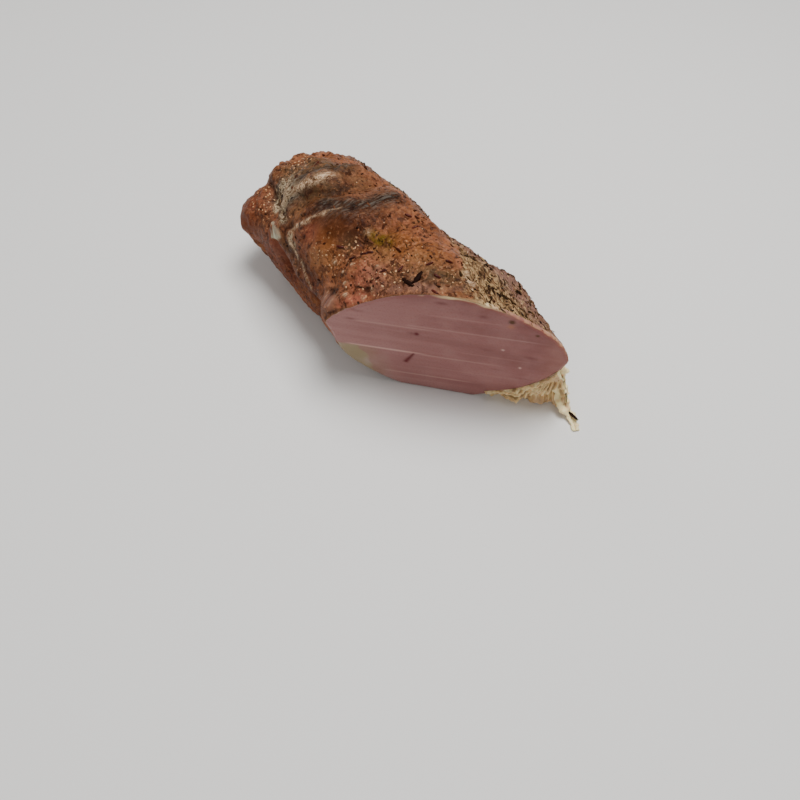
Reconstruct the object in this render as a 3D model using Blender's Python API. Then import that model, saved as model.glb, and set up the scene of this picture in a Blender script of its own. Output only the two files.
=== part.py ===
"""A piece of cooked, cured pork tenderloin in its herb crust, cut across on the slant.

The piece lies flat along X, with its rough end at -X, its cut end at +X and its underside on Z = 0.
It is one solid: the meat with its lobes, folds and creases, a torn fringe of fat that hangs from the
low corner of the cut, and the larger herb flakes and peppercorn grains of the crust. Sizes are in
millimetres, and MM turns them into metres where a mesh is made.
"""

import math
from collections import namedtuple

import bmesh
import bpy
import numpy as np
from mathutils import Matrix, Vector

MM = 0.001
NAME = "tenderloin"

# Driving sizes of the meat
LENGTH = 149.0
WIDTH = 60.0
HEIGHT = 61.0

# The tube that the meat starts from. Each section stands at a place along the length and gives the
# reach to the left and right as parts of the width, and the heights of the top and of the widest
# line as parts of the height. The last two lie past the cut.
Section = namedtuple("Section", "place left right top widest")
SECTIONS = (
    Section(-0.02, 0.430, 0.415, 0.525, 0.34),
    Section(0.075, 0.450, 0.445, 0.720, 0.40),
    Section(0.21, 0.467, 0.467, 0.935, 0.475),
    Section(0.38, 0.458, 0.475, 0.985, 0.490),
    Section(0.51, 0.475, 0.483, 1.000, 0.510),
    Section(0.68, 0.500, 0.492, 1.000, 0.540),
    Section(0.85, 0.500, 0.492, 0.967, 0.557),
    Section(1.02, 0.500, 0.467, 0.918, 0.557),
    Section(1.12, 0.500, 0.467, 0.918, 0.557),
)
END_X = -80.5                   # where the rough end stands
SIDE_Y = -3.2                   # the middle of the tube, sideways
END_ROUND = 18.0                # length over which the rough end rounds off
END_BLUNT = 0.72                # below 1 the rough end is blunter than a ball
SAG = 3.0                       # how far the tube reaches under the ground before it is cut flat
FULLNESS_TOP = 1.66             # 2 is an ellipse, lower is nearer to a lozenge
FULLNESS_LOW_LEFT = 1.95
FULLNESS_LOW_RIGHT = 1.62

# The middle of the underside of the whole piece, which becomes the origin
MIDDLE = np.array((0.0, -1.5, 0.0))

# The slanting cut: a plane, nearly upright, with its outward side towards +X and -Y
CUT_POINT = np.array((36.4, -7.6, 60.1))
CUT_OUT = np.array((0.680, -0.730, -0.070)) / np.linalg.norm((0.680, -0.730, -0.070))
CALM_NEAR_CUT = 22.0            # the uneven swell fades out over this depth behind the cut

# The lattice of the meat's surface
TURNS = 64                      # points round the meat
END_RINGS = 9                   # rings over the rough end
LENGTH_RINGS = 42               # rings from there to past the cut
PAST_CUT = 1.12                 # the tube runs on to this part of the length

# Lumps are swellings (or dents) round a point, and folds run along a chain of points
Lump = namedtuple("Lump", "centre spread height")
Fold = namedtuple("Fold", "points spread height")
LUMPS = (
    Lump((-71.0, -29.8, 29.0), 8.0, 6.2),         # knob of a side muscle at the rough end
    Lump((-72.0, -13.5, 38.5), 4.5, 2.4),         # small swelling above the crease round the knob
    Lump((-14.5, -16.2, 55.0), 9.0, 1.6),         # smooth swelling on the left of the top
    Lump((17.5, -4.2, 61.0), 11.0, 1.3),          # swelling of the top behind the cut
    Lump((0.5, 21.8, 46.0), 7.0, -1.3),           # dent in the right shoulder
    Lump((28.0, 21.5, 47.0), 9.0, 4.2),           # swelling of the right shoulder in front of it
    Lump((57.0, 23.0, 42.0), 6.0, 1.0),           # and of the shoulder at the cut
    Lump((9.0, -29.5, 18.0), 8.0, 1.5),           # swelling low on the left of the cut
    Lump((-9.0, -33.0, 24.0), 9.0, -1.9),         # hollow low on the left side, behind the lip
)
SIDE_FOLD = ((-45.5, -28.2, 45.0), (-40.5, -29.2, 42.0), (-34.5, -30.2, 37.0), (-23.5, -30.2, 33.0),
             (-13.5, -31.2, 32.0), (-5.5, -32.7, 36.0), (0.5, -33.2, 39.0))
SIDE_FOLD_DROP = np.array((-1.0, 0.0, -6.5))      # from the fold to the groove under it
FOLDS = (
    Fold(((-82.5, -12.0, 27.0), (-77.0, -16.5, 35.0), (-69.5, -19.6, 41.5), (-62.5, -22.0, 43.5),
          (-51.5, -25.2, 44.5), (-44.5, -28.2, 43.5)), 3.2, -3.6),       # crease round the knob
    Fold(SIDE_FOLD, 3.4, 1.3),                                           # fold along the left side
    Fold(tuple(np.array(SIDE_FOLD) + SIDE_FOLD_DROP), 3.4, -1.8),
    Fold(((-50.5, -23.2, 48.0), (-42.2, -16.1, 55.6), (-39.5, -9.6, 57.5), (-38.5, -1.2, 58.0),
          (-39.5, 6.8, 56.0), (-42.5, 16.8, 48.0)), 4.2, 1.6),           # first band over the top
    Fold(((-38.5, -22.2, 51.0), (-34.9, -13.4, 55.8), (-29.5, -8.1, 57.5), (-25.5, -0.2, 58.3),
          (-26.5, 8.8, 56.0), (-29.5, 18.8, 48.0)), 3.4, -2.0),          # hollow between the bands
    Fold(((-33.5, -27.2, 46.0), (-31.5, -23.1, 51.0), (-26.8, -15.7, 56.3), (-23.5, -10.2, 57.7),
          (-17.5, -2.2, 58.3), (-15.5, 8.8, 57.0)), 3.2, 1.2),           # second band
    Fold(((-9.5, -29.2, 42.0), (-6.5, -21.2, 52.0), (-3.5, -12.2, 58.0), (-1.5, -1.2, 61.0),
          (-3.5, 10.8, 58.0)), 4.0, -1.1),                               # waist behind the front lump
)
FOLD_FADE = 0.12                # a fold fades in and out over this part of its length
LIP_HEIGHT = 4.2                # the crust stands up in a lip behind the left tip of the cut
LIP_DEPTH = 4.0
LIP_CENTRE = (-33.2, 36.0)      # its place in Y and Z
LIP_SPREAD = (8.0, 12.0)

# Uneven swell all over: seed, wavelength and height of each layer
Swell = namedtuple("Swell", "seed length height")
SWELLS = (Swell(3, 40.0, 1.3), Swell(4, 17.0, 0.55))
FRINGE_SWELL = Swell(7, 9.0, 1.5)
WAVES_PER_SWELL = 20

# Fringe of fat below the low right corner of the cut: its line on the meat, and its line on the ground
FRINGE_ROOT = ((46.0, 6.8, 4.0), (57.0, 16.0, 11.5), (64.0, 22.2, 20.5), (66.2, 24.8, 27.5))
FRINGE_FOOT = ((46.5, 13.8, -2.0), (56.5, 22.8, -2.0), (63.5, 28.8, -2.0), (70.0, 33.0, -2.0))
FRINGE_THICK = 2.4
FRINGE_COLUMNS = 16
FRINGE_ROWS = 9
FRINGE_BULGE = 3.5              # how far the hanging sheet bellies out
FRINGE_SIDE = np.array((0.35, 0.35, 0.0))
STRAND = ((64.6, 24.4, 28.0), (65.3, 27.6, 20.0), (66.2, 29.6, 10.0), (70.5, 30.0, 4.0), (77.0, 29.3, 1.2),
          (80.6, 27.6, 0.6))
STRAND_WIDE = 2.6               # half widths of the loose strand that lies out from the fringe
STRAND_THIN = 1.0
STRAND_LIFT = 12.0              # above this height the strand hangs, below it turns to lie flat

# Herb flakes and pepper: seed, number, and half sizes along, across and through
Scatter = namedtuple("Scatter", "seed count along across through turn_range length_range")
FLAKES_SIDE = Scatter(11, 66, (1.4, 2.7), (0.55, 0.90), 0.75, (0.28, 0.72), (0.36, 0.97))
FLAKES_TOP = Scatter(12, 34, (0.9, 1.8), (0.60, 1.00), 0.75, (-0.02, 0.36), (0.30, 0.95))
FLAKES_BACK = Scatter(13, 24, (0.9, 1.7), (0.60, 1.00), 0.75, (-0.18, 0.75), (0.05, 0.40))
GRAIN_GAP = 3.1                 # least distance between two grains
GRAIN_SINK = 0.30               # part of its thickness by which a grain's middle lies under the surface
LEAF = ((24.6, -12.8, 30.0), (26.4, -8.2, 100.0))       # the two halves of the large leaf: X, Y, heading
LEAF_HALF = (3.3, 1.1, 0.8)
TRIES_PER_GRAIN = 60

MEAT_COLOUR = (0.33, 0.14, 0.09, 1.0)
MEAT_ROUGHNESS = 0.5


def placed(point):
    """A point of the sizes above, in the part's own frame and in metres."""
    return Vector((np.array(point) - MIDDLE) * MM)


def soft_step(values):
    """Rise smoothly from 0 to 1 as the values go from 0 to 1."""
    t = np.clip(values, 0.0, 1.0)
    return t * t * (3.0 - 2.0 * t)


def section_value(x, field):
    """One size of the section at x, on a smooth curve through the listed sections."""
    places = END_X + LENGTH * np.array([section.place for section in SECTIONS])
    sizes = np.array([getattr(section, field) for section in SECTIONS])
    slopes = np.gradient(sizes, places)
    index = np.clip(np.searchsorted(places, x) - 1, 0, len(places) - 2)
    step = places[index + 1] - places[index]
    t = np.clip((x - places[index]) / step, 0.0, 1.0)
    start = (2 * t**3 - 3 * t**2 + 1) * sizes[index] + (t**3 - 2 * t**2 + t) * step * slopes[index]
    end = (3 * t**2 - 2 * t**3) * sizes[index + 1] + (t**3 - t**2) * step * slopes[index + 1]
    return start + end


def tube(run, turn):
    """Points of the smooth tube: run is below 0 on the round end, and turn goes round from +Y over the top."""
    angle = np.clip((run + END_ROUND) / END_ROUND, 0.0, 1.0) * math.pi / 2.0
    x = np.where(run < 0.0, END_X + END_ROUND * (1.0 - np.cos(angle)), END_X + END_ROUND + run)
    close = np.sin(angle) ** END_BLUNT
    across = np.cos(turn)
    upward = np.sin(turn)
    reach = WIDTH * np.where(across < 0.0, section_value(x, "left"), section_value(x, "right"))
    top = HEIGHT * section_value(x, "top")
    widest = HEIGHT * section_value(x, "widest")
    rise = np.where(upward > 0.0, top - widest, widest + SAG)
    low = np.where(across < 0.0, FULLNESS_LOW_LEFT, FULLNESS_LOW_RIGHT)
    fullness = np.where(upward > 0.0, FULLNESS_TOP, low)
    ratio = (np.abs(across) ** fullness + np.abs(upward) ** fullness) ** (-1.0 / fullness)
    y = SIDE_Y + close * reach * ratio * across
    z = widest + close * rise * ratio * upward
    return np.stack((x, y, z), axis=-1)


def outward(run, turn):
    """Unit vectors that stand out from the smooth tube."""
    run = np.maximum(run, 1.0 - END_ROUND)
    along = tube(run + 0.6, turn) - tube(run - 0.6, turn)
    around = tube(run, turn + 0.02) - tube(run, turn - 0.02)
    normals = np.cross(around, along)
    return normals / (np.linalg.norm(normals, axis=-1, keepdims=True) + 1e-9)


def swell_field(points, swell):
    """Uneven heights: many plane waves of about one length in random directions, added up."""
    draw = np.random.default_rng(swell.seed)
    headings = draw.normal(size=(WAVES_PER_SWELL, 3))
    headings /= np.linalg.norm(headings, axis=1)[:, None]
    pitch = 2.0 * math.pi / swell.length * draw.uniform(0.75, 1.35, size=(WAVES_PER_SWELL, 1))
    phases = draw.uniform(0.0, 2.0 * math.pi, WAVES_PER_SWELL)
    waves = np.sin(points @ (headings * pitch).T + phases).sum(axis=-1)
    return swell.height * math.sqrt(2.0 / WAVES_PER_SWELL) * waves


def lump_field(points, lump):
    """A round swelling that falls off like a bell curve."""
    square = ((points - np.array(lump.centre)) ** 2).sum(axis=-1)
    return lump.height * np.exp(-square / (2.0 * lump.spread**2))


def fold_field(points, fold):
    """A ridge or groove along a chain of points, fading out at both ends."""
    chain = np.array(fold.points)
    lengths = np.linalg.norm(np.diff(chain, axis=0), axis=1)
    walked = np.concatenate(([0.0], np.cumsum(lengths)))
    nearest = np.full(points.shape[:-1], np.inf)
    part = np.zeros(points.shape[:-1])
    for index, length in enumerate(lengths):
        side = chain[index + 1] - chain[index]
        t = np.clip((points - chain[index]) @ side / length**2, 0.0, 1.0)
        distance = np.linalg.norm(points - chain[index] - t[..., None] * side, axis=-1)
        closer = distance < nearest
        nearest = np.where(closer, distance, nearest)
        part = np.where(closer, (walked[index] + t * length) / walked[-1], part)
    fade = np.clip(np.minimum(part, 1.0 - part) / FOLD_FADE, 0.0, 1.0)
    return fold.height * fade * np.exp(-((nearest / fold.spread) ** 2))


def lip_field(points, depth):
    """The raised lip of crust behind the left tip of the cut."""
    behind = ((depth - LIP_DEPTH) / LIP_DEPTH) ** 2
    sideways = ((points[..., 1] - LIP_CENTRE[0]) / LIP_SPREAD[0]) ** 2
    upward = ((points[..., 2] - LIP_CENTRE[1]) / LIP_SPREAD[1]) ** 2
    return LIP_HEIGHT * np.exp(-behind - sideways - upward)


def relief(points):
    """Height of the meat's real surface over the smooth tube."""
    depth = (CUT_POINT - points) @ CUT_OUT
    height = soft_step(depth / CALM_NEAR_CUT) * sum(swell_field(points, swell) for swell in SWELLS)
    height = height + sum(lump_field(points, lump) for lump in LUMPS)
    height = height + sum(fold_field(points, fold) for fold in FOLDS)
    return height + lip_field(points, depth)


def skin(run, turn):
    """Points of the meat's surface, before the cut and the flat underside."""
    points = tube(run, turn)
    return points + outward(run, turn) * relief(points)[..., None]


def mesh_object(name, bm, collection):
    """Make a named object from a bmesh and put it in a collection."""
    mesh = bpy.data.meshes.new(name)
    bm.to_mesh(mesh)
    bm.free()
    made = bpy.data.objects.new(name, mesh)
    collection.objects.link(made)
    return made


def loft(bm, rings, closed_ends):
    """Join rings of points with quads; each end is closed with one face where that is asked."""
    lines = [[bm.verts.new(placed(point)) for point in ring] for ring in rings]
    for ring, following in zip(lines, lines[1:]):
        for index in range(len(ring)):
            after = (index + 1) % len(ring)
            bm.faces.new((ring[index], ring[after], following[after], following[index]))
    if closed_ends:
        bm.faces.new(reversed(lines[0]))
        bm.faces.new(lines[-1])
    return lines


def slice_flat(bm, point, normal):
    """Cut the mesh with a plane, drop what lies on the normal's side and close the opening."""
    geometry = bm.verts[:] + bm.edges[:] + bm.faces[:]
    cut = bmesh.ops.bisect_plane(bm, geom=geometry, dist=1e-7, plane_co=placed(point),
                                 plane_no=Vector(normal), clear_outer=True)
    edges = [item for item in cut["geom_cut"] if isinstance(item, bmesh.types.BMEdge)]
    bmesh.ops.edgeloop_fill(bm, edges=edges)


def build_meat(collection):
    """Loft the rings of the meat's surface, then cut its slanting end and its flat underside."""
    turn = np.linspace(0.0, 2.0 * math.pi, TURNS, endpoint=False)
    end_runs = np.linspace(-END_ROUND, 0.0, END_RINGS + 1)[1:-1]
    length_runs = np.linspace(0.0, PAST_CUT * LENGTH - END_ROUND, LENGTH_RINGS)
    runs = np.concatenate((end_runs, length_runs))
    rings = [skin(np.full(TURNS, run), turn) for run in runs]
    bm = bmesh.new()
    lines = loft(bm, rings, closed_ends=False)
    tip = skin(np.array([-END_ROUND]), np.array([0.0]))[0]
    tip_vert = bm.verts.new(placed(tip))
    for index in range(TURNS):
        bm.faces.new((tip_vert, lines[0][(index + 1) % TURNS], lines[0][index]))
    bm.faces.new(lines[-1])
    bmesh.ops.recalc_face_normals(bm, faces=bm.faces)
    slice_flat(bm, CUT_POINT, CUT_OUT)
    slice_flat(bm, (0.0, 0.0, 0.0), (0.0, 0.0, -1.0))
    bmesh.ops.recalc_face_normals(bm, faces=bm.faces)
    return mesh_object(NAME, bm, collection)


def smooth_line(points, count):
    """Evenly spread points on a smooth curve through the given ones."""
    knots = np.array(points)
    padded = np.vstack((2 * knots[0] - knots[1], knots, 2 * knots[-1] - knots[-2]))
    places = np.linspace(0.0, len(knots) - 1.0, count)
    index = np.minimum(places.astype(int), len(knots) - 2)
    t = (places - index)[:, None]
    a, b, c, d = (padded[index + shift] for shift in range(4))
    return 0.5 * (2 * b + (c - a) * t + (2 * a - 5 * b + 4 * c - d) * t**2 + (3 * b - a - 3 * c + d) * t**3)


def build_fringe(collection):
    """A ruffled sheet of fat that hangs from the low corner of the cut to the ground."""
    root = smooth_line(FRINGE_ROOT, FRINGE_COLUMNS)
    foot = smooth_line(FRINGE_FOOT, FRINGE_COLUMNS)
    sheet = []
    for row in np.linspace(0.0, 1.0, FRINGE_ROWS):
        line = root * (1.0 - row) + foot * row + math.sin(math.pi * row) * FRINGE_BULGE * FRINGE_SIDE
        ruffle = soft_step(2.0 * row) * swell_field(line, FRINGE_SWELL)
        sheet.append(line + ruffle[:, None] * CUT_OUT)
    front = np.array(sheet) + CUT_OUT * FRINGE_THICK / 2.0
    back = np.array(sheet) - CUT_OUT * FRINGE_THICK / 2.0
    bm = bmesh.new()
    rings = [np.vstack((front[:, index], back[::-1, index])) for index in range(FRINGE_COLUMNS)]
    loft(bm, rings, closed_ends=True)
    bmesh.ops.recalc_face_normals(bm, faces=bm.faces)
    slice_flat(bm, (0.0, 0.0, 0.0), (0.0, 0.0, -1.0))
    bmesh.ops.recalc_face_normals(bm, faces=bm.faces)
    return mesh_object("fringe", bm, collection)


def build_strand(collection):
    """A flat loose strand of fat that runs down from the corner of the cut and out along the ground."""
    line = smooth_line(STRAND, 16)
    ahead = np.gradient(line, axis=0)
    ahead /= np.linalg.norm(ahead, axis=1)[:, None]
    lifted = soft_step(line[:, 2:] / STRAND_LIFT)
    face = lifted * CUT_OUT + (1.0 - lifted) * np.array((0.0, 0.0, 1.0))
    wide = np.cross(face, ahead)
    wide /= np.linalg.norm(wide, axis=1)[:, None]
    thin = np.cross(wide, ahead)
    taper = 1.0 - 0.6 * np.linspace(0.0, 1.0, len(line)) ** 3
    turn = np.linspace(0.0, 2.0 * math.pi, 10, endpoint=False)
    rings = []
    for place, across, through, size in zip(line, wide, thin, taper):
        ring = place + size * (np.cos(turn)[:, None] * across * STRAND_WIDE
                               + np.sin(turn)[:, None] * through * STRAND_THIN)
        rings.append(ring)
    bm = bmesh.new()
    loft(bm, rings, closed_ends=True)
    bmesh.ops.recalc_face_normals(bm, faces=bm.faces)
    slice_flat(bm, (0.0, 0.0, 0.0), (0.0, 0.0, -1.0))
    bmesh.ops.recalc_face_normals(bm, faces=bm.faces)
    return mesh_object("strand", bm, collection)


def add_grain(collection, place, normal, heading, half):
    """Lay one flat grain on the surface, its long side along the heading, partly sunk in."""
    normal = Vector(normal).normalized()
    ahead = Vector(heading)
    ahead = (ahead - normal * ahead.dot(normal)).normalized()
    across = normal.cross(ahead)
    frame = Matrix((ahead, across, normal)).transposed().to_4x4()
    sizes = Matrix.Diagonal((half[0] * MM, half[1] * MM, half[2] * MM, 1.0))
    centre = placed(place) - normal * half[2] * GRAIN_SINK * MM
    bm = bmesh.new()
    bmesh.ops.create_icosphere(bm, subdivisions=1, radius=1.0, matrix=Matrix.Translation(centre) @ frame @ sizes)
    return mesh_object("grain", bm, collection)


def surface_at(run, turn):
    """One point of the meat's surface and the direction that stands out from it."""
    runs = np.array((run, run + 0.5, run))
    turns = np.array((turn, turn, turn + 0.01))
    here, along, around = skin(runs, turns)
    normal = np.cross(around - here, along - here)
    return here, normal / np.linalg.norm(normal)


def scatter(collection, rule, taken):
    """Lay grains at random in a part of the surface, the largest first, clear of those laid before."""
    draw = np.random.default_rng(rule.seed)
    sizes = sorted(draw.uniform(0.0, 1.0, rule.count), reverse=True)
    for size in sizes:
        for _ in range(TRIES_PER_GRAIN):
            turn = math.pi * draw.uniform(*rule.turn_range)
            run = LENGTH * draw.uniform(*rule.length_range) - END_ROUND
            spin = draw.normal(0.0, 0.5)
            place, normal = surface_at(run, turn)
            depth = (CUT_POINT - place) @ CUT_OUT
            clear = all(np.linalg.norm(place - other) > GRAIN_GAP for other in taken)
            if clear and depth > GRAIN_GAP and place[2] > 2.0 * GRAIN_GAP:
                break
        else:
            continue
        taken.append(place)
        half = (rule.along[0] + size * (rule.along[1] - rule.along[0]),
                rule.across[0] + size * (rule.across[1] - rule.across[0]), rule.through)
        add_grain(collection, place, normal, (math.cos(spin), math.sin(spin), 0.0), half)


def build_leaf(collection, taken):
    """The large folded leaf behind the cut, as two long grains that meet in a V."""
    for x, y, heading in LEAF:
        run = x - END_X - END_ROUND
        turns = np.linspace(0.25 * math.pi, 0.85 * math.pi, 200)
        line = skin(np.full(turns.shape, run), turns)
        turn = turns[np.argmin(np.abs(line[:, 1] - y))]
        place, normal = surface_at(run, turn)
        taken.append(place)
        angle = math.radians(heading)
        add_grain(collection, place, normal, (math.cos(angle), math.sin(angle), 0.0), LEAF_HALF)


def fuse(meat, added):
    """Join everything in the added collection to the meat with one union, and remove the collection."""
    union = meat.modifiers.new("fuse", "BOOLEAN")
    union.operation = "UNION"
    union.operand_type = "COLLECTION"
    union.collection = added
    union.solver = "EXACT"
    bpy.context.view_layer.update()
    evaluated = meat.evaluated_get(bpy.context.evaluated_depsgraph_get())
    fused = bpy.data.meshes.new_from_object(evaluated)
    meat.modifiers.clear()
    meat.data = fused
    for item in list(added.objects):
        bpy.data.objects.remove(item, do_unlink=True)
    bpy.data.collections.remove(added)


def keep_main_body(meat):
    """Drop loose scraps and sealed hollows: keep the one body with the most faces, and make it triangles."""
    bm = bmesh.new()
    bm.from_mesh(meat.data)
    bmesh.ops.remove_doubles(bm, verts=bm.verts, dist=0.01 * MM)
    bmesh.ops.triangulate(bm, faces=bm.faces)
    left = set(bm.faces)
    bodies = []
    while left:
        body = set()
        edge_of_body = [left.pop()]
        while edge_of_body:
            face = edge_of_body.pop()
            body.add(face)
            for edge in face.edges:
                for other in edge.link_faces:
                    if other in left:
                        left.remove(other)
                        edge_of_body.append(other)
        bodies.append(body)
    main = max(bodies, key=len)
    bmesh.ops.delete(bm, geom=[face for face in bm.faces if face not in main], context="FACES")
    bm.to_mesh(meat.data)
    bm.free()


def dress(meat):
    """Give the meat its plain crust colour and shade it smooth except at the cut's edge."""
    material = bpy.data.materials.new("crust")
    material.use_nodes = True
    shader = material.node_tree.nodes["Principled BSDF"]
    shader.inputs["Base Color"].default_value = MEAT_COLOUR
    shader.inputs["Roughness"].default_value = MEAT_ROUGHNESS
    shader.inputs["Metallic"].default_value = 0.0
    meat.data.materials.clear()
    meat.data.materials.append(material)
    meat.data.shade_smooth()
    meat.data.set_sharp_from_angle(angle=math.radians(40.0))


def main():
    """Remove the scene's objects and build the piece of meat."""
    for item in list(bpy.data.objects):
        bpy.data.objects.remove(item, do_unlink=True)
    kept = bpy.data.collections.new(NAME)
    added = bpy.data.collections.new("added")
    for collection in (kept, added):
        bpy.context.scene.collection.children.link(collection)
    meat = build_meat(kept)
    build_fringe(added)
    build_strand(added)
    taken = []
    build_leaf(added, taken)
    for rule in (FLAKES_SIDE, FLAKES_TOP, FLAKES_BACK):
        scatter(added, rule, taken)
    fuse(meat, added)
    keep_main_body(meat)
    dress(meat)


main()
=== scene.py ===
"""Looks of a cut piece of cooked pork tenderloin: crust, cut, fringe of fat, herbs and pepper.

The form repeats the part's own named sizes, in millimetres and in the part's frame: X runs along the meat
to its cut end, the underside lies on Z = 0, and MM turns the sizes into metres where a mesh is made.
"""

import logging
import math
from dataclasses import dataclass, field
from enum import Enum

import bpy
import numpy as np
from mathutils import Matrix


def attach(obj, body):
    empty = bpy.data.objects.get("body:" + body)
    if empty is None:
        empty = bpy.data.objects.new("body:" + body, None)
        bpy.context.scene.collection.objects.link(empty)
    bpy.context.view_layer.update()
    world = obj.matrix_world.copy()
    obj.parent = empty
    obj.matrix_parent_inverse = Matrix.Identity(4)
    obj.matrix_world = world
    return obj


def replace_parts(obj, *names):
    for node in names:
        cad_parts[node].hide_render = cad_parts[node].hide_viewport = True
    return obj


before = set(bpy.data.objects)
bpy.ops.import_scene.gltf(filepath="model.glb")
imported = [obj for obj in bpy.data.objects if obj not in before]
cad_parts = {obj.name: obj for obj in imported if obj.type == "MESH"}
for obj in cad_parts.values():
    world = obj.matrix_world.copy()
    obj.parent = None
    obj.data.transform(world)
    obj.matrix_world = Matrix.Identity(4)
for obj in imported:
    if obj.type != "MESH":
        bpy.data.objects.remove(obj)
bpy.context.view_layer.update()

LOG = logging.getLogger("tenderloin")
MM = 0.001
NODE = "tenderloin"
BODY = "root"
UP = np.array((0.0, 0.0, 1.0))
SOFT_RADIUS = (1.0, 0.45, 0.3)

Place = tuple[float, float, float]
Range = tuple[float, float]
Spot = tuple[float, float, float, float, float]
Sizes = tuple[float, ...]
Array = np.ndarray
Material = bpy.types.Material


class Slot(Enum):
    """Material slots of the record, by name."""

    CRUST = "crust"
    CUT = "cut_meat"
    FAT = "fat"
    HERBS = "herbs"


def ramp(values: Array, start: float = 0.0, length: float = 1.0) -> Array:
    """Rise smoothly from 0 to 1: three t squared less two t cubed, for the share t of a length.

    Args:
        values: The values.
        start: Value where the rise starts.
        length: Length of the rise, below 0 for a rise towards lower values.

    Returns:
        The results.
    """
    t = np.clip((values - start) / length, 0.0, 1.0)
    return t * t * (3.0 - 2.0 * t)


def bell(values: Array, spread: float) -> Array:
    """A bell curve: e to the minus square of the value over the spread."""
    return np.exp(-((values / spread) ** 2))


def unit(vectors: Array) -> Array:
    """The vectors divided by their lengths."""
    return vectors / (np.linalg.norm(vectors, axis=-1, keepdims=True) + 1e-9)


def level(angle: Array) -> Array:
    """Level unit vectors at angles from +X."""
    return np.stack((np.cos(angle), np.sin(angle), np.zeros_like(angle)), axis=-1)


def tone(red: int, green: int, blue: int) -> Sizes:
    """A display colour of three bytes as a linear colour with full alpha.

    Args:
        red: Red byte.
        green: Green byte.
        blue: Blue byte.

    Returns:
        Red, green, blue and alpha from 0 to 1.
    """
    parts = np.array((red, green, blue)) / 255.0
    linear = np.where(parts <= 0.04045, parts / 12.92, ((parts + 0.055) / 1.055) ** 2.4)
    return (*linear.tolist(), 1.0)


def spot_height(spot: Spot, points: Array) -> Array:
    """Height of a round swelling, dent or spot of colour: a bell curve of the distance to its centre.

    Args:
        spot: X, Y and Z of the centre, the spread and the height there.
        points: The points.

    Returns:
        Height at each point.
    """
    square = ((points - np.array(spot[:3])) ** 2).sum(axis=-1)
    return spot[4] * np.exp(-square / (2.0 * spot[3] ** 2))


@dataclass(frozen=True)
class Chain:
    """A line through a few points in space, that a fold, a band or a streak follows."""

    points: tuple[Place, ...]
    spread: float
    height: float = 1.0
    fade: float = 0.12

    def height_at(self, points: Array) -> Array:
        """Height of the ridge or groove: a bell curve of the distance to the line, fading at both ends.

        Args:
            points: The points.

        Returns:
            Height at each point.
        """
        chain = np.array(self.points)
        lengths = np.linalg.norm(np.diff(chain, axis=0), axis=1)
        walked = np.concatenate(([0.0], np.cumsum(lengths)))
        nearest = np.full(points.shape[:-1], np.inf)
        part = np.zeros(points.shape[:-1])
        for index, length in enumerate(lengths):
            side = chain[index + 1] - chain[index]
            t = np.clip((points - chain[index]) @ side / length**2, 0.0, 1.0)
            gap = np.linalg.norm(points - chain[index] - t[..., None] * side, axis=-1)
            closer = gap < nearest
            nearest = np.where(closer, gap, nearest)
            part = np.where(closer, (walked[index] + t * length) / walked[-1], part)
        fade = np.clip(np.minimum(part, 1.0 - part) / self.fade, 0.0, 1.0)
        return self.height * fade * bell(nearest, self.spread)


@dataclass(frozen=True)
class Swell:
    """Uneven heights of about one wavelength."""

    seed: int
    length: float
    height: float
    count: int = 20

    def height_at(self, points: Array) -> Array:
        """Height at each point: plane waves in random directions, added up.

        Args:
            points: The points.

        Returns:
            Height at each point.
        """
        draw = np.random.default_rng(self.seed)
        headings = unit(draw.normal(size=(self.count, 3)))
        pitch = 2.0 * math.pi / self.length * draw.uniform(0.75, 1.35, size=(self.count, 1))
        phases = draw.uniform(0.0, 2.0 * math.pi, self.count)
        waves = np.sin(points @ (headings * pitch).T + phases).sum(axis=-1)
        return self.height * math.sqrt(2.0 / self.count) * waves


@dataclass(frozen=True)
class Fibres:
    """Long streaks, short across the fibres and long along them."""

    seed: int
    across: float
    along: float
    height: float
    count: int = 18

    def height_at(self, along: Array, across: Array) -> Array:
        """Height at each point: sine waves with crests nearly in line with the fibres, added up.

        Args:
            along: Places along the fibres.
            across: Places across them.

        Returns:
            Height at each place.
        """
        draw = np.random.default_rng(self.seed)
        pitch_across = 2.0 * math.pi / self.across * draw.uniform(0.5, 1.8, self.count)
        pitch_along = 2.0 * math.pi / self.along * draw.normal(0.0, 1.0, self.count)
        phases = draw.uniform(0.0, 2.0 * math.pi, self.count)
        waves = np.sin(across[..., None] * pitch_across + along[..., None] * pitch_along + phases)
        return self.height * math.sqrt(2.0 / self.count) * waves.sum(axis=-1)


@dataclass(frozen=True)
class Crinkles:
    """Plates of dried crust with creases between them, round one place."""

    seed: int
    centre: Place
    reach: float
    spacing: float
    depth: float
    sharp: float = 0.7

    def height_at(self, points: Array) -> Array:
        """Depth below the plates: a bell curve of how much farther the second nearest site is.

        Args:
            points: The points.

        Returns:
            Height at each point, 0 or below.
        """
        draw = np.random.default_rng(self.seed)
        count = int((2.4 * self.reach / self.spacing) ** 3)
        sites = np.array(self.centre) + 1.2 * self.reach * draw.uniform(-1.0, 1.0, (count, 3))
        away = np.linalg.norm(points - np.array(self.centre), axis=-1)
        inside = away < self.reach
        near = points[inside]
        gaps = np.partition(np.linalg.norm(near[:, None] - sites[None], axis=-1), 1, axis=1)
        fade = ramp(1.5 * (1.0 - away[inside] / self.reach))
        height = np.zeros(points.shape[:-1])
        height[inside] = -self.depth * bell(gaps[:, 1] - gaps[:, 0], self.sharp) * fade
        return height


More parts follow.
